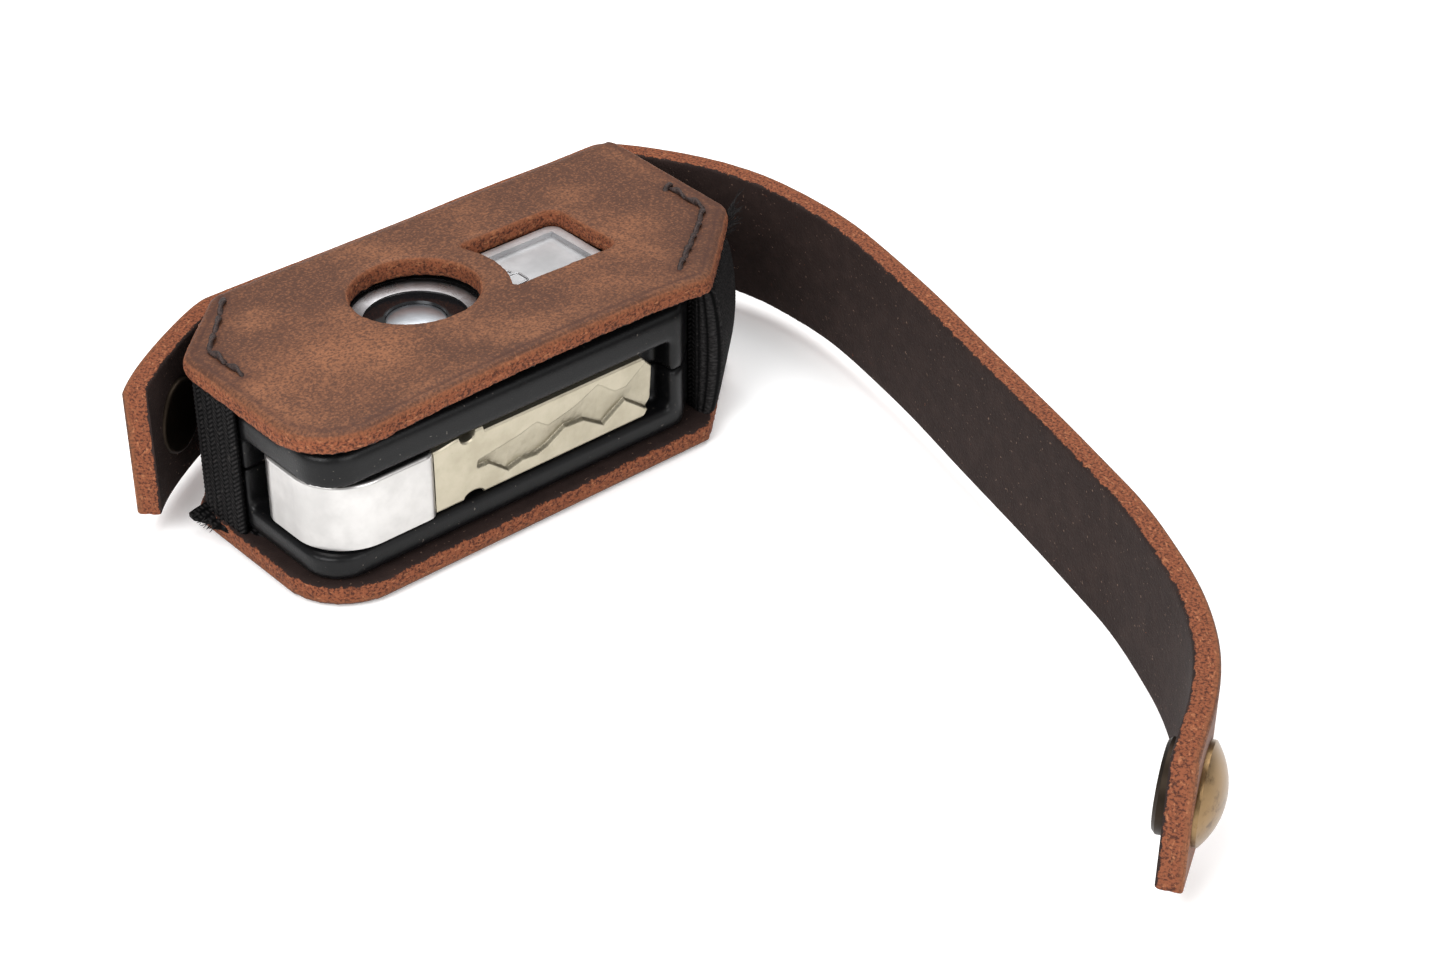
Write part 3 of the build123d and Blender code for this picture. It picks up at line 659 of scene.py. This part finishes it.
def strapPiece(name, start, corner, end, lengthSoFar):
    # the strap's section carried along one bend; returns the piece and the length at its end
    loop = strapLoop()
    length = np.linalg.norm(corner - start) + np.linalg.norm(end - corner)
    count = max(int(length / strap["stationGap"]), 3)
    path, tangent = bendCurve(start, corner, end, count)
    outward = np.stack([-tangent[:, 1], tangent[:, 0]], -1)
    run = np.r_[0, np.cumsum(np.linalg.norm(np.diff(path, axis=0), axis=1))] + lengthSoFar
    middle = (strapLow[2] + strapHigh[2]) / 2
    across, height = loop[:, 0], loop[:, 1]
    place = np.stack(np.broadcast_arrays(run[:, None], height[None], across[None]), -1)
    thick = strapHigh[1] - strapLow[1]
    depth = np.clip((thick / 2 - across) / thick, 0, 1)
    cut = eased(depth, 0.03, 0.2) * (1 - eased(depth, 0.85, 1.0))
    flat = place.reshape(-1, 3)
    rough = (ripple(flat, 0.9 * mm, 11) + 0.9 * ripple(flat, 2.8 * mm, 12)).reshape(place.shape[:2])
    push = 1 + (cut * strap["fibre"] * rough) / np.maximum(np.abs(height), 1 * mm)
    xy = path[:, None] + outward[:, None] * across[None, :, None]
    z = middle + height[None] * push + strap["wave"] * 0.3 * ripple(run[:, None], 30 * mm, 13)[:, None]
    points = np.dstack([xy, z]).reshape(-1, 3)
    piece = newPiece(name, points, loftFaces(count, len(loop)), "hide", sharp=55)
    addAttribute(piece, "hideDepth", "FLOAT", np.tile(depth, count))
    addAttribute(piece, "hideWear", "FLOAT", np.zeros(count * len(loop)))
    addAttribute(piece, "hidePlace", "FLOAT_VECTOR", flat)
    return piece, run[-1]


def addStrap():
    # control points from the tab's end, along the spine and down the strap; each bend is one piece
    tabLine = headingOf(tabHinge - tabEndPoint())
    spine = np.array([1.0, 0.0])
    lead = strap["foldLead"]
    end = strapEndPoint()
    corners = [tabHinge, tabHinge + spine * lead, strapHinges[0] - spine * lead, *strapHinges, end]
    curlCorner = tabHinge - tabLine * strap["tabCurlAt"]
    curlLine = turnedBy(tabLine, strap["tabCurl"])
    tip = curlCorner - curlLine * (strap["tabLength"] - strap["tabCurlAt"])
    fold = (curlCorner + tabHinge) / 2
    piece, run = strapPiece("tab_hide", tip, curlCorner, fold, 0.0)
    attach(piece, "tab")
    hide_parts("strap_tab")
    middles = [(a + b) / 2 for a, b in zip(corners, corners[1:])]
    piece, run = strapPiece("tab_fold_hide", fold, tabHinge, middles[0], run)
    blendAcross(piece)
    straight = (middles[0] + middles[2]) / 2
    piece, run = strapPiece("spine_strap_hide", middles[0], straight, middles[2], run)
    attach(piece, "case")
    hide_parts("strap_back")
    for i in range(9):
        start, stop = middles[i + 2], middles[i + 3]
        piece, run = strapPiece(f"strap_bend_hide_{i + 1}", start, strapHinges[i], stop, run)
        blendAcross(piece)
        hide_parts(f"strap_section_{i + 1}")
    piece, run = strapPiece("strap_end_hide", middles[-1], (middles[-1] + end) / 2, end, run)
    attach(piece, "strap_9")


def blendAcross(piece):
    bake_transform(piece)


def turnedBy(vector, degrees):
    c, s = cos(radians(degrees)), sin(radians(degrees))
    return np.array([c * vector[0] - s * vector[1], s * vector[0] + c * vector[1]])


def farCentre(node, fromPoint):
    # middle of a strap node's end that is furthest from a point, seen from above
    mesh = frame["nodes"][node].data
    points = np.empty(len(mesh.vertices) * 3, np.float32)
    mesh.vertices.foreach_get("co", points)
    flat = points.reshape(-1, 3)[:, :2].astype(float)
    reach = np.linalg.norm(flat - fromPoint, axis=1)
    return flat[reach > reach.max() - strap["endSlice"]].mean(axis=0)


def tabEndPoint():
    return farCentre("strap_tab", tabHinge)


def strapEndPoint():
    return farCentre("strap_section_9", strapHinges[-1])


addStrap()
print("strap made")


# ---- seams ----

def stitchShape(a, b, level, side, seed):
    # a two-ply thread: thin in the holes, full between them, lying on the hide
    chance = np.random.default_rng(seed)
    t = np.linspace(0, 1, seam["points"])
    sway = chance.uniform(-0.12, 0.12) * mm
    across = np.array([-(b - a)[1], (b - a)[0]]) / np.linalg.norm(b - a)
    flat = a[None] + (b - a)[None] * (0.02 + 0.96 * t[:, None]) + across * sway * np.sin(pi * t)[:, None]
    lift = side * (seam["radius"] * 1.15 * np.sin(pi * t) ** 0.5 - seam["sink"] * 4 * (1 - np.sin(pi * t)))
    z = level(flat) + lift
    radii = seam["radius"] * (0.45 + 0.55 * np.sin(pi * t) ** 0.35) * chance.uniform(0.9, 1.1)
    return tube(np.c_[flat, z], radii, 12, seam["twist"], 2, seam["plyDepth"])


def addSeams():
    height = caseHigh[2]

    def topLevel(flat):
        points = np.c_[flat, np.full(len(flat), height)]
        return height + panelLift(points) - 0.12 * mm

    def lowLevel(flat):
        return np.full(len(flat), 0.46 * mm)

    for side in ("left", "right"):
        holes = seamHoles(seamLine(side))
        for layer, level, way in (("top", topLevel, 1), ("bottom", lowLevel, -0.25)):
            parts = [stitchShape(a, b, level, way, i) for i, (a, b) in enumerate(zip(holes, holes[1:]))]
            if layer == "top" and side == "right":
                last, spread = holes[-1], np.array(seam["knot"])
                parts.append(stitchShape(last - spread, last + spread, level, way, 99))
            piece = newPiece(f"{side}_{layer}_seam", *joined(parts), "thread", sharp=80)
            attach(piece, "case")
            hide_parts(f"{side}_seam_{layer}_thread")


addSeams()
print("seams made")


# ---- elastics ----

elastic = {"thickness": 0.75 * mm, "pitch": 0.62 * mm, "depth": 0.17 * mm, "rib": 1.05 * mm,
           "low": 2.75 * mm, "high": 20.9 * mm, "loopRib": 0.62 * mm, "cell": 0.14 * mm, "edge": 0.6 * mm,
           "bulgeFrom": 2.4 * mm, "leftInset": 0.95 * mm, "leftLap": 0.72, "leftCorner": 2.6 * mm}

# the two right bands, in millimetres along the chamfer and in from it
innerBand = {"hem": (4.5, 3.3), "turn": (3.3, 1.9), "end": 2.4, "corner": 0.7 * mm, "high": 20.4 * mm}
outerLoop = {"hem": (3.3, 2.3), "turn": (2.4, 0.5), "end": 3.0, "corner": 0.9 * mm, "high": 20.2 * mm,
             "ridge": 0.22 * mm, "bulge": 1.25 * mm, "backBulge": 0.5 * mm, "pressedTo": 1.9,
             "keep": 0.3, "threadKeep": 0.08}


def weaveRidges(s, z):
    # herringbone: slanted ridges whose slope turns over from one cord to the next, low between cords
    cord = s / elastic["rib"]
    zigzag = np.abs((cord % 2) - 1)
    ridge = np.abs(np.sin(pi * (z / elastic["pitch"] + 1.5 * zigzag)))
    return ridge * (0.35 + 0.65 * np.abs(np.sin(pi * cord)) ** 0.5)


def loopRidges(s, z):
    # ribs that run up the band, each crossed by fine threads
    rib = np.abs(np.sin(pi * s / elastic["loopRib"])) ** 0.7
    return rib * (0.8 + 0.2 * np.abs(np.sin(pi * z / (0.45 * mm))))


def wovenBand(name, path, replaces, ridges, depth, bulge=0.0, backBulge=None, high=None, way=None):
    # a ribbon standing on edge: path is its line seen from above, rows climb from low to high;
    # front and back sheets stand off the line by half a thickness and the ridges, and swell outwards,
    # or all one way, growing from the band's first edge
    path = np.asarray(path, float)
    run = np.r_[0, np.cumsum(np.linalg.norm(np.diff(path, axis=0), axis=1))]
    columns = int(run[-1] / elastic["cell"])
    s = np.linspace(0, run[-1], columns)
    line = np.stack([np.interp(s, run, path[:, 0]), np.interp(s, run, path[:, 1])], -1)
    tangent = np.gradient(line, axis=0)
    tangent /= np.linalg.norm(tangent, axis=1)[:, None]
    outward = np.stack([tangent[:, 1], -tangent[:, 0]], -1)
    low, high = elastic["low"], high or elastic["high"]
    rows = int((high - low) / elastic["cell"])
    z = np.linspace(low, high, rows)[:, None]
    ridge = ridges(s[None], z)
    swell = np.sin(pi * (z - low) / (high - low)) ** 0.7
    edgeThin = 1 - 0.6 * (1 - eased(np.minimum(s, s[-1] - s), 0, elastic["edge"]))[None]
    stand = (elastic["thickness"] * 0.5 + ridge * depth) * edgeThin
    if way is None:
        swellWay = outward[None] * np.ones((rows, 1, 1))
    else:
        grow = eased(s, 0, elastic["bulgeFrom"])[None, :, None]
        swellWay = np.asarray(way)[None, None] * grow * np.ones((rows, 1, 1))
    sheets = []
    for offset, reach in ((stand, bulge), (-stand, bulge if backBulge is None else backBulge)):
        xy = line[None] + outward[None] * offset[..., None] + swellWay * (swell * reach)[..., None]
        sheets.append(np.dstack([xy, np.broadcast_to(z, offset.shape)]).reshape(-1, 3))
    piece = newPiece(name, np.vstack(sheets), slabFaces(rows, columns), "elastic", sharp=75)
    weave = np.dstack(np.broadcast_arrays(s[None], z, np.zeros_like(z))).reshape(-1, 3)
    addAttribute(piece, "weavePlace", "FLOAT_VECTOR", np.vstack([weave, weave + [0, 0, 1 * mm]]))
    addAttribute(piece, "weaveRidge", "FLOAT", np.tile(ridge.ravel(), 2))
    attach(piece, "case")
    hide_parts(replaces)
    return piece


def slabFaces(rows, columns):
    # a front sheet, a back sheet numbered after it and turned over, and the rim that joins them
    faces = gridFaces(rows, columns)
    behind = [[index + rows * columns for index in face[::-1]] for face in faces]
    border = list(range(columns))
    border += [i * columns + columns - 1 for i in range(1, rows)]
    border += [(rows - 1) * columns + j for j in range(columns - 2, -1, -1)]
    border += [i * columns for i in range(rows - 2, 0, -1)]
    jump = rows * columns
    rim = [[b, a, a + jump, b + jump] for a, b in zip(border, border[1:] + border[:1])]
    return faces + behind + rim


def roundedPath(points, radius, steps=8):
    # straight runs with each inner corner eased by a quadratic curve
    points = [np.array(p, float) for p in points]
    path = [points[0]]
    for before, corner, after in zip(points, points[1:], points[2:]):
        a = corner + headingOf(before - corner) * radius
        b = corner + headingOf(after - corner) * radius
        path += list(bendCurve(a, corner, b, steps)[0])
    return np.array(path + [points[-1]])


def addElastics():
    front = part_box("elastic_left")[0][1]
    x, y = caseHigh[0], caseHigh[1]
    run, rise = wrap["leftChamfer"]
    along = headingOf(np.array([run, rise]))
    out = np.array([-along[1], along[0]])
    inset = elastic["leftInset"]
    corner = np.array([-x + inset, y - rise - inset * 0.4])
    top = np.array([-x, y - rise]) - out * inset + along * np.hypot(run, rise) * elastic["leftLap"]
    leftPath = roundedPath([top, corner, (-x + inset, front)], elastic["leftCorner"])
    wovenBand("left_elastic", leftPath, "elastic_left", weaveRidges, elastic["depth"])
    run, rise = wrap["rightChamfer"]
    along = headingOf(np.array([run, rise]))
    out = np.array([along[1], -along[0]])
    start, end = np.array([x - run, -y]), np.array([x, -y + rise])

    def chamferPoint(forward, inward):
        return start + along * forward * mm - out * inward * mm

    def bandPath(band):
        far = np.linalg.norm(end - start) / mm - band["end"]
        return roundedPath([chamferPoint(*band["hem"]), chamferPoint(*band["turn"]),
                            chamferPoint(far, band["turn"][1])], band["corner"])

    wovenBand("right_inner_elastic", bandPath(innerBand), "elastic_right", weaveRidges, elastic["depth"],
              high=innerBand["high"])
    loop = wovenBand("right_outer_elastic", bandPath(outerLoop), "elastic_loop", loopRidges,
                     outerLoop["ridge"], outerLoop["bulge"], outerLoop["backBulge"], outerLoop["high"], out)
    pressFlat(loop, chamferPoint(outerLoop["turn"][0], outerLoop["pressedTo"]))


def pressFlat(piece, anchor):
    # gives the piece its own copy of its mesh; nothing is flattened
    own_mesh(piece)


addElastics()
print("elastics made")


# ---- frayed ends ----

frays = {
    "right": {"count": 46, "along": (-3.5, 3.0), "behind": 0.6 * mm, "length": (1.5, 5.2),
              "lean": (-0.2, 0.9), "outwards": (0.3, 0.8), "spread": 0.6, "curl": (-0.8, 0.8),
              "height": 20.0 * mm, "climb": (0.0, 0.75), "drop": (-1.2, 0.4), "radii": (0.09, 0.04),
              "points": 7},
    "left": {"count": 14, "past": 0.9 * mm, "along": (2.2, 7.4), "length": (0.5, 1.7), "outwards": -0.8,
             "lean": (-0.5, 0.5), "height": 2.75 * mm, "climb": (-0.3, 0.1), "radii": (0.08, 0.035),
             "points": 6},
}


def addThreads(name, parts):
    piece = newPiece(name, *joined(parts), "elastic", sharp=80)
    addAttribute(piece, "weavePlace", "FLOAT_VECTOR", np.array([v.co for v in piece.data.vertices]))
    addAttribute(piece, "weaveRidge", "FLOAT", np.full(len(piece.data.vertices), 0.8))
    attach(piece, "case")
    return piece


def addFrays():
    # loose threads, each a thin tapered tube on a short parabola: right ones stand up from the top of
    # the elastic's end, left ones lie out from under the flap
    chance = np.random.default_rng(21)
    x, y = caseHigh[0], caseHigh[1]
    run, rise = wrap["rightChamfer"]
    along = headingOf(np.array([run, rise]))
    out = np.array([along[1], -along[0]])
    fray, parts = frays["right"], []
    corner = np.array([x, -y + rise])
    t = np.linspace(0, 1, fray["points"])[:, None]
    for i in range(fray["count"]):
        base = corner - along * chance.uniform(*fray["along"]) * mm - out * fray["behind"]
        length = chance.uniform(*fray["length"]) * mm
        swing = along * chance.uniform(*fray["lean"]) + out * chance.uniform(*fray["outwards"])
        curl = chance.uniform(*fray["curl"]) * mm
        flat = base + swing * length * fray["spread"] * t + out * curl * t ** 2
        z = fray["height"] + length * chance.uniform(*fray["climb"]) * t + chance.uniform(*fray["drop"]) * mm
        parts.append(tube(np.c_[flat, z], np.linspace(*fray["radii"], fray["points"]) * mm, 5))
    threads = addThreads("right_frayed_threads", parts)
    pressFlat(threads, corner - out * outerLoop["pressedTo"] * mm)
    fray, parts = frays["left"], []
    t = np.linspace(0, 1, fray["points"])[:, None]
    for i in range(fray["count"]):
        base = np.array([-x - fray["past"], chance.uniform(*fray["along"]) * mm])
        reach = chance.uniform(*fray["length"]) * mm
        flat = base + np.array([fray["outwards"], chance.uniform(*fray["lean"])]) * reach * t
        z = fray["height"] + chance.uniform(*fray["climb"]) * mm * t
        parts.append(tube(np.c_[flat, z], np.linspace(*fray["radii"], fray["points"]) * mm, 5))
    addThreads("left_frayed_threads", parts)


flap = {"rows": 40, "columns": 60, "front": -3.0, "width": 10.6, "under": 2.9, "reach": 1.2, "flare": 3.4,
        "torn": 0.07, "height": 2.92 * mm, "ridge": 0.08 * mm, "droop": 0.55 * mm, "wave": 0.06 * mm,
        "thickness": 0.45 * mm}


def addFlap():
    # the left elastic's cut end as a grid: u from under the elastic outwards past the bottom panel's
    # edge, v from front to back; it is torn along its outer edge and droops there as u cubed
    rows, columns = flap["rows"], flap["columns"]
    u, v = np.meshgrid(np.linspace(0, 1, rows), np.linspace(0, 1, columns), indexing="ij")
    ragged = 1 + flap["torn"] * ripple(v.reshape(-1, 1) * 8 * mm, 1.6 * mm, 31).reshape(v.shape)
    y = (flap["front"] + flap["width"] * v) * mm
    x = caseLow[0] + (flap["under"] - (flap["reach"] + flap["flare"] * v ** 0.8) * ragged * u) * mm
    ridge = np.abs(np.sin(pi * (x / (0.5 * mm)))) * np.abs(np.sin(pi * v * 9))
    z = flap["height"] + flap["ridge"] * ridge - flap["droop"] * u ** 3 + flap["wave"] * np.sin(4 * v + 2 * u)
    top = np.stack([x, y, z], -1).reshape(-1, 3)
    under = top - [0, 0, flap["thickness"]]
    piece = newPiece("elastic_end_flap", np.vstack([top, under]), slabFaces(rows, columns), "elastic")
    work = bmesh.new()
    work.from_mesh(piece.data)
    bmesh.ops.recalc_face_normals(work, faces=work.faces)
    work.to_mesh(piece.data)
    work.free()
    addAttribute(piece, "weavePlace", "FLOAT_VECTOR", np.vstack([top, under]))
    addAttribute(piece, "weaveRidge", "FLOAT", np.tile(ridge.ravel(), 2))
    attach(piece, "case")


addFrays()
addFlap()
print("frayed ends made")


# ---- key blade ----

blade = {
    "grid": 0.11 * mm, "rows": 84, "deep": 0.62 * mm, "shallow": 0.08 * mm, "trackFrom": -13.1 * mm,
    "bevel": 0.16 * mm, "bevelWidth": 0.22 * mm, "edge": 0.55 * mm, "rootLap": 0.3 * mm,
    "shoulderFrom": -18.7 * mm, "shoulderTo": -15.6 * mm, "shoulder": 0.35 * mm, "tabFrom": -13.0 * mm,
    "tabTo": -11.8 * mm, "tab": 0.20 * mm, "notchAt": -14.2 * mm, "notchRadius": 1.15 * mm,
    "notchDepth": 0.95 * mm, "scoopAt": -13.6 * mm, "scoopRadius": 1.5 * mm, "scoopDepth": 0.75 * mm,
    "tipAbove": (1.6 * mm, 1.1), "tipBelow": (1.5 * mm, 1.4),
    "lower": [(-13.1, 10.2), (-11.2, 10.2), (-8.4, 7.9), (-6.1, 8.5), (-4.0, 8.3), (-2.4, 8.8), (0.3, 10.3),
              (3.1, 10.1), (6.2, 8.1), (9.6, 10.2), (12.9, 7.6), (13.9, 7.0)],
    "upper": [(-13.1, 10.5), (-12.9, 11.3), (-6.7, 12.2), (-4.0, 12.9), (-2.3, 11.7), (2.0, 12.7),
              (5.4, 14.2), (8.1, 12.1), (9.7, 12.1), (13.0, 14.4), (13.9, 14.9)],
}


def trackDepth(x, z):
    # how far the milled track is below the blade's face: a steep wall along its lower line,
    # then a floor that comes up to nothing at its upper line
    lower = np.interp(x, *(np.array(blade["lower"]) * mm).T)
    upper = np.interp(x, *(np.array(blade["upper"]) * mm).T)
    share = np.clip((z - lower) / np.maximum(upper - lower, 0.2 * mm), 0, 1)
    wall = eased(z, lower - 0.05 * mm, lower + 0.30 * mm) * (z < upper)
    floor = blade["shallow"] + (blade["deep"] - blade["shallow"]) * (1 - share) ** 1.3
    return floor * wall * eased(x, blade["trackFrom"], blade["trackFrom"] + 0.6 * mm)


def bladeEdges(x):
    # lowest and highest z along the blade: chamfered tip, a round notch and a stop tab on top,
    # a shallow scoop below near the hub
    low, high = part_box("key_blade")
    bottom, top, tip = low[2], high[2], high[0]
    upper = np.full_like(x, top - blade["edge"])
    upper += blade["shoulder"] * eased(x, blade["shoulderFrom"], blade["shoulderTo"]) * (x < blade["tabTo"])
    upper += blade["tab"] * ((x > blade["tabFrom"]) & (x < blade["tabTo"]))
    notch = np.clip(1 - ((x - blade["notchAt"]) / blade["notchRadius"]) ** 2, 0, 1)
    upper -= blade["notchDepth"] * np.sqrt(notch)
    length, slope = blade["tipAbove"]
    upper -= np.clip(x - (tip - length), 0, None) * slope
    length, slope = blade["tipBelow"]
    lower = np.full_like(x, bottom) + np.clip(x - (tip - length), 0, None) * slope
    scoop = np.clip(1 - ((x - blade["scoopAt"]) / blade["scoopRadius"]) ** 2, 0, 1)
    return lower + blade["scoopDepth"] * np.sqrt(scoop), upper


def addBlade():
    # both faces are grids of x by height with the track sunk in them, bevelled at the rim and joined
    # to each other round it; the blade starts just inside the hub
    low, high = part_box("key_blade")
    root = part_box("blade_hub")[1][0] - blade["rootLap"]
    x = np.arange(root, high[0], blade["grid"])
    lower, upper = bladeEdges(x)
    rows = blade["rows"]
    v = np.linspace(0, 1, rows)[:, None]
    z = lower + (upper - lower) * v
    grid = np.broadcast_to(x, z.shape)
    depth = trackDepth(grid, z)
    rim = np.minimum(np.minimum(z - lower, upper - z), high[0] - grid)
    bevel = blade["bevel"] * (1 - eased(rim, 0, blade["bevelWidth"]))
    wobble = 0.010 * mm * ripple(np.stack([grid, z], -1), 1.3 * mm, 8) * (depth > 0)
    front = np.stack([grid, low[1] + depth + bevel + wobble, z], -1).reshape(-1, 3)
    back = np.stack([grid, high[1] - depth - bevel, z], -1).reshape(-1, 3)
    points = np.vstack([front, back])
    piece = newPiece("milled_blade", points, slabFaces(rows, len(x)), "nickel", sharp=42)
    steep = np.hypot(*np.gradient(depth, blade["grid"]))
    # painted shade: darkest on the steep walls of the track, some on its floor and more where it is deep
    wallShade = np.clip(steep * 0.26 + 0.05 * (depth > 0.05 * mm) + 0.25 * (depth > 0.55 * mm), 0, 1)
    addAttribute(piece, "bladeWallShade", "FLOAT", np.tile(wallShade.ravel(), 2))
    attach(piece, "flip_key")
    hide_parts("key_blade")


shells = {"voxel": 0.40 * mm, "smoothing": 7}


def addShells():
    # the two mouldings again with their edges rounded, as they leave the mould
    for node in ("fob_lower_shell", "fob_upper_shell"):
        mesh, points, normals = remeshed(node, shells["voxel"], shells["smoothing"])
        piece = placeMesh(node.replace("shell", "moulding"), mesh, points, "housing", sharp=80)
        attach(piece, "case")
        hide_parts(node)


addShells()
addBlade()
print("blade made")


# ---- small fittings ----

mark = {"fromLeft": 5.4 * mm, "fromMiddle": -0.9 * mm, "sink": 0.72 * mm, "stroke": 0.17 * mm,
        "body": (3.4 * mm, 2.4 * mm), "squareness": 0.35, "hook": 1.05 * mm, "leg": 0.5 * mm}


def addButtonMark():
    # an open padlock in low relief: its body's outline is a squared-off oval, the powers of cosine
    # and sine, and its shackle a half circle with one short leg
    low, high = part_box("unlock_button")
    top = high[2] - mark["sink"]
    x, y = low[0] + mark["fromLeft"], (low[1] + high[1]) / 2 + mark["fromMiddle"]
    width, depth = mark["body"]
    angle = np.linspace(0, 2 * pi, 61)

    def squared(wave):
        return np.sign(wave) * np.abs(wave) ** mark["squareness"]

    body = np.c_[x + squared(np.cos(angle)) * width / 2, y + squared(np.sin(angle)) * depth / 2]
    bow = np.linspace(0, pi, 24)
    foot, hook = y + depth / 2, mark["hook"]
    shackle = np.c_[x + hook * np.cos(bow), foot + mark["leg"] + hook * np.sin(bow)]
    leg = np.c_[np.full(6, x - hook), foot + np.linspace(mark["leg"], 0.0, 6)]
    lines = [np.c_[line, np.full(len(line), top)] for line in (body, shackle, leg)]
    parts = [tube(line, np.full(len(line), mark["stroke"]), 8) for line in lines]
    piece = newPiece("padlock_mark", *joined(parts), "satinChrome", sharp=70)
    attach(piece, "button")


addButtonMark()

slotFinishes = {
    "gloss_black": "glossBlack", "housing": "housing", "satin_chrome": "satinChrome",
    "bright_chrome": "hubPolish", "nickel": "nickel", "antique_brass": "antiqueBrass",
    "dark_brass": "darkBrass", "steel": "steel", "board_green": "boardGreen", "copper": "copper",
    "seal": "seal", "capsule": "glossBlack", "hide": "hide", "strap_hide": "hide", "thread": "thread",
    "elastic": "elastic",
}
nodeFinishes = {"badge_dome": "badge", "unlock_button": "buttonSilver"}
for subpart in frame["record"]["subparts"]:
    node = frame["nodes"][subpart["node"]]
    finish = nodeFinishes.get(subpart["node"], slotFinishes[subpart["material_slot"]])
    node.data.materials.clear()
    node.data.materials.append(finishes[finish])
print("fittings finished")
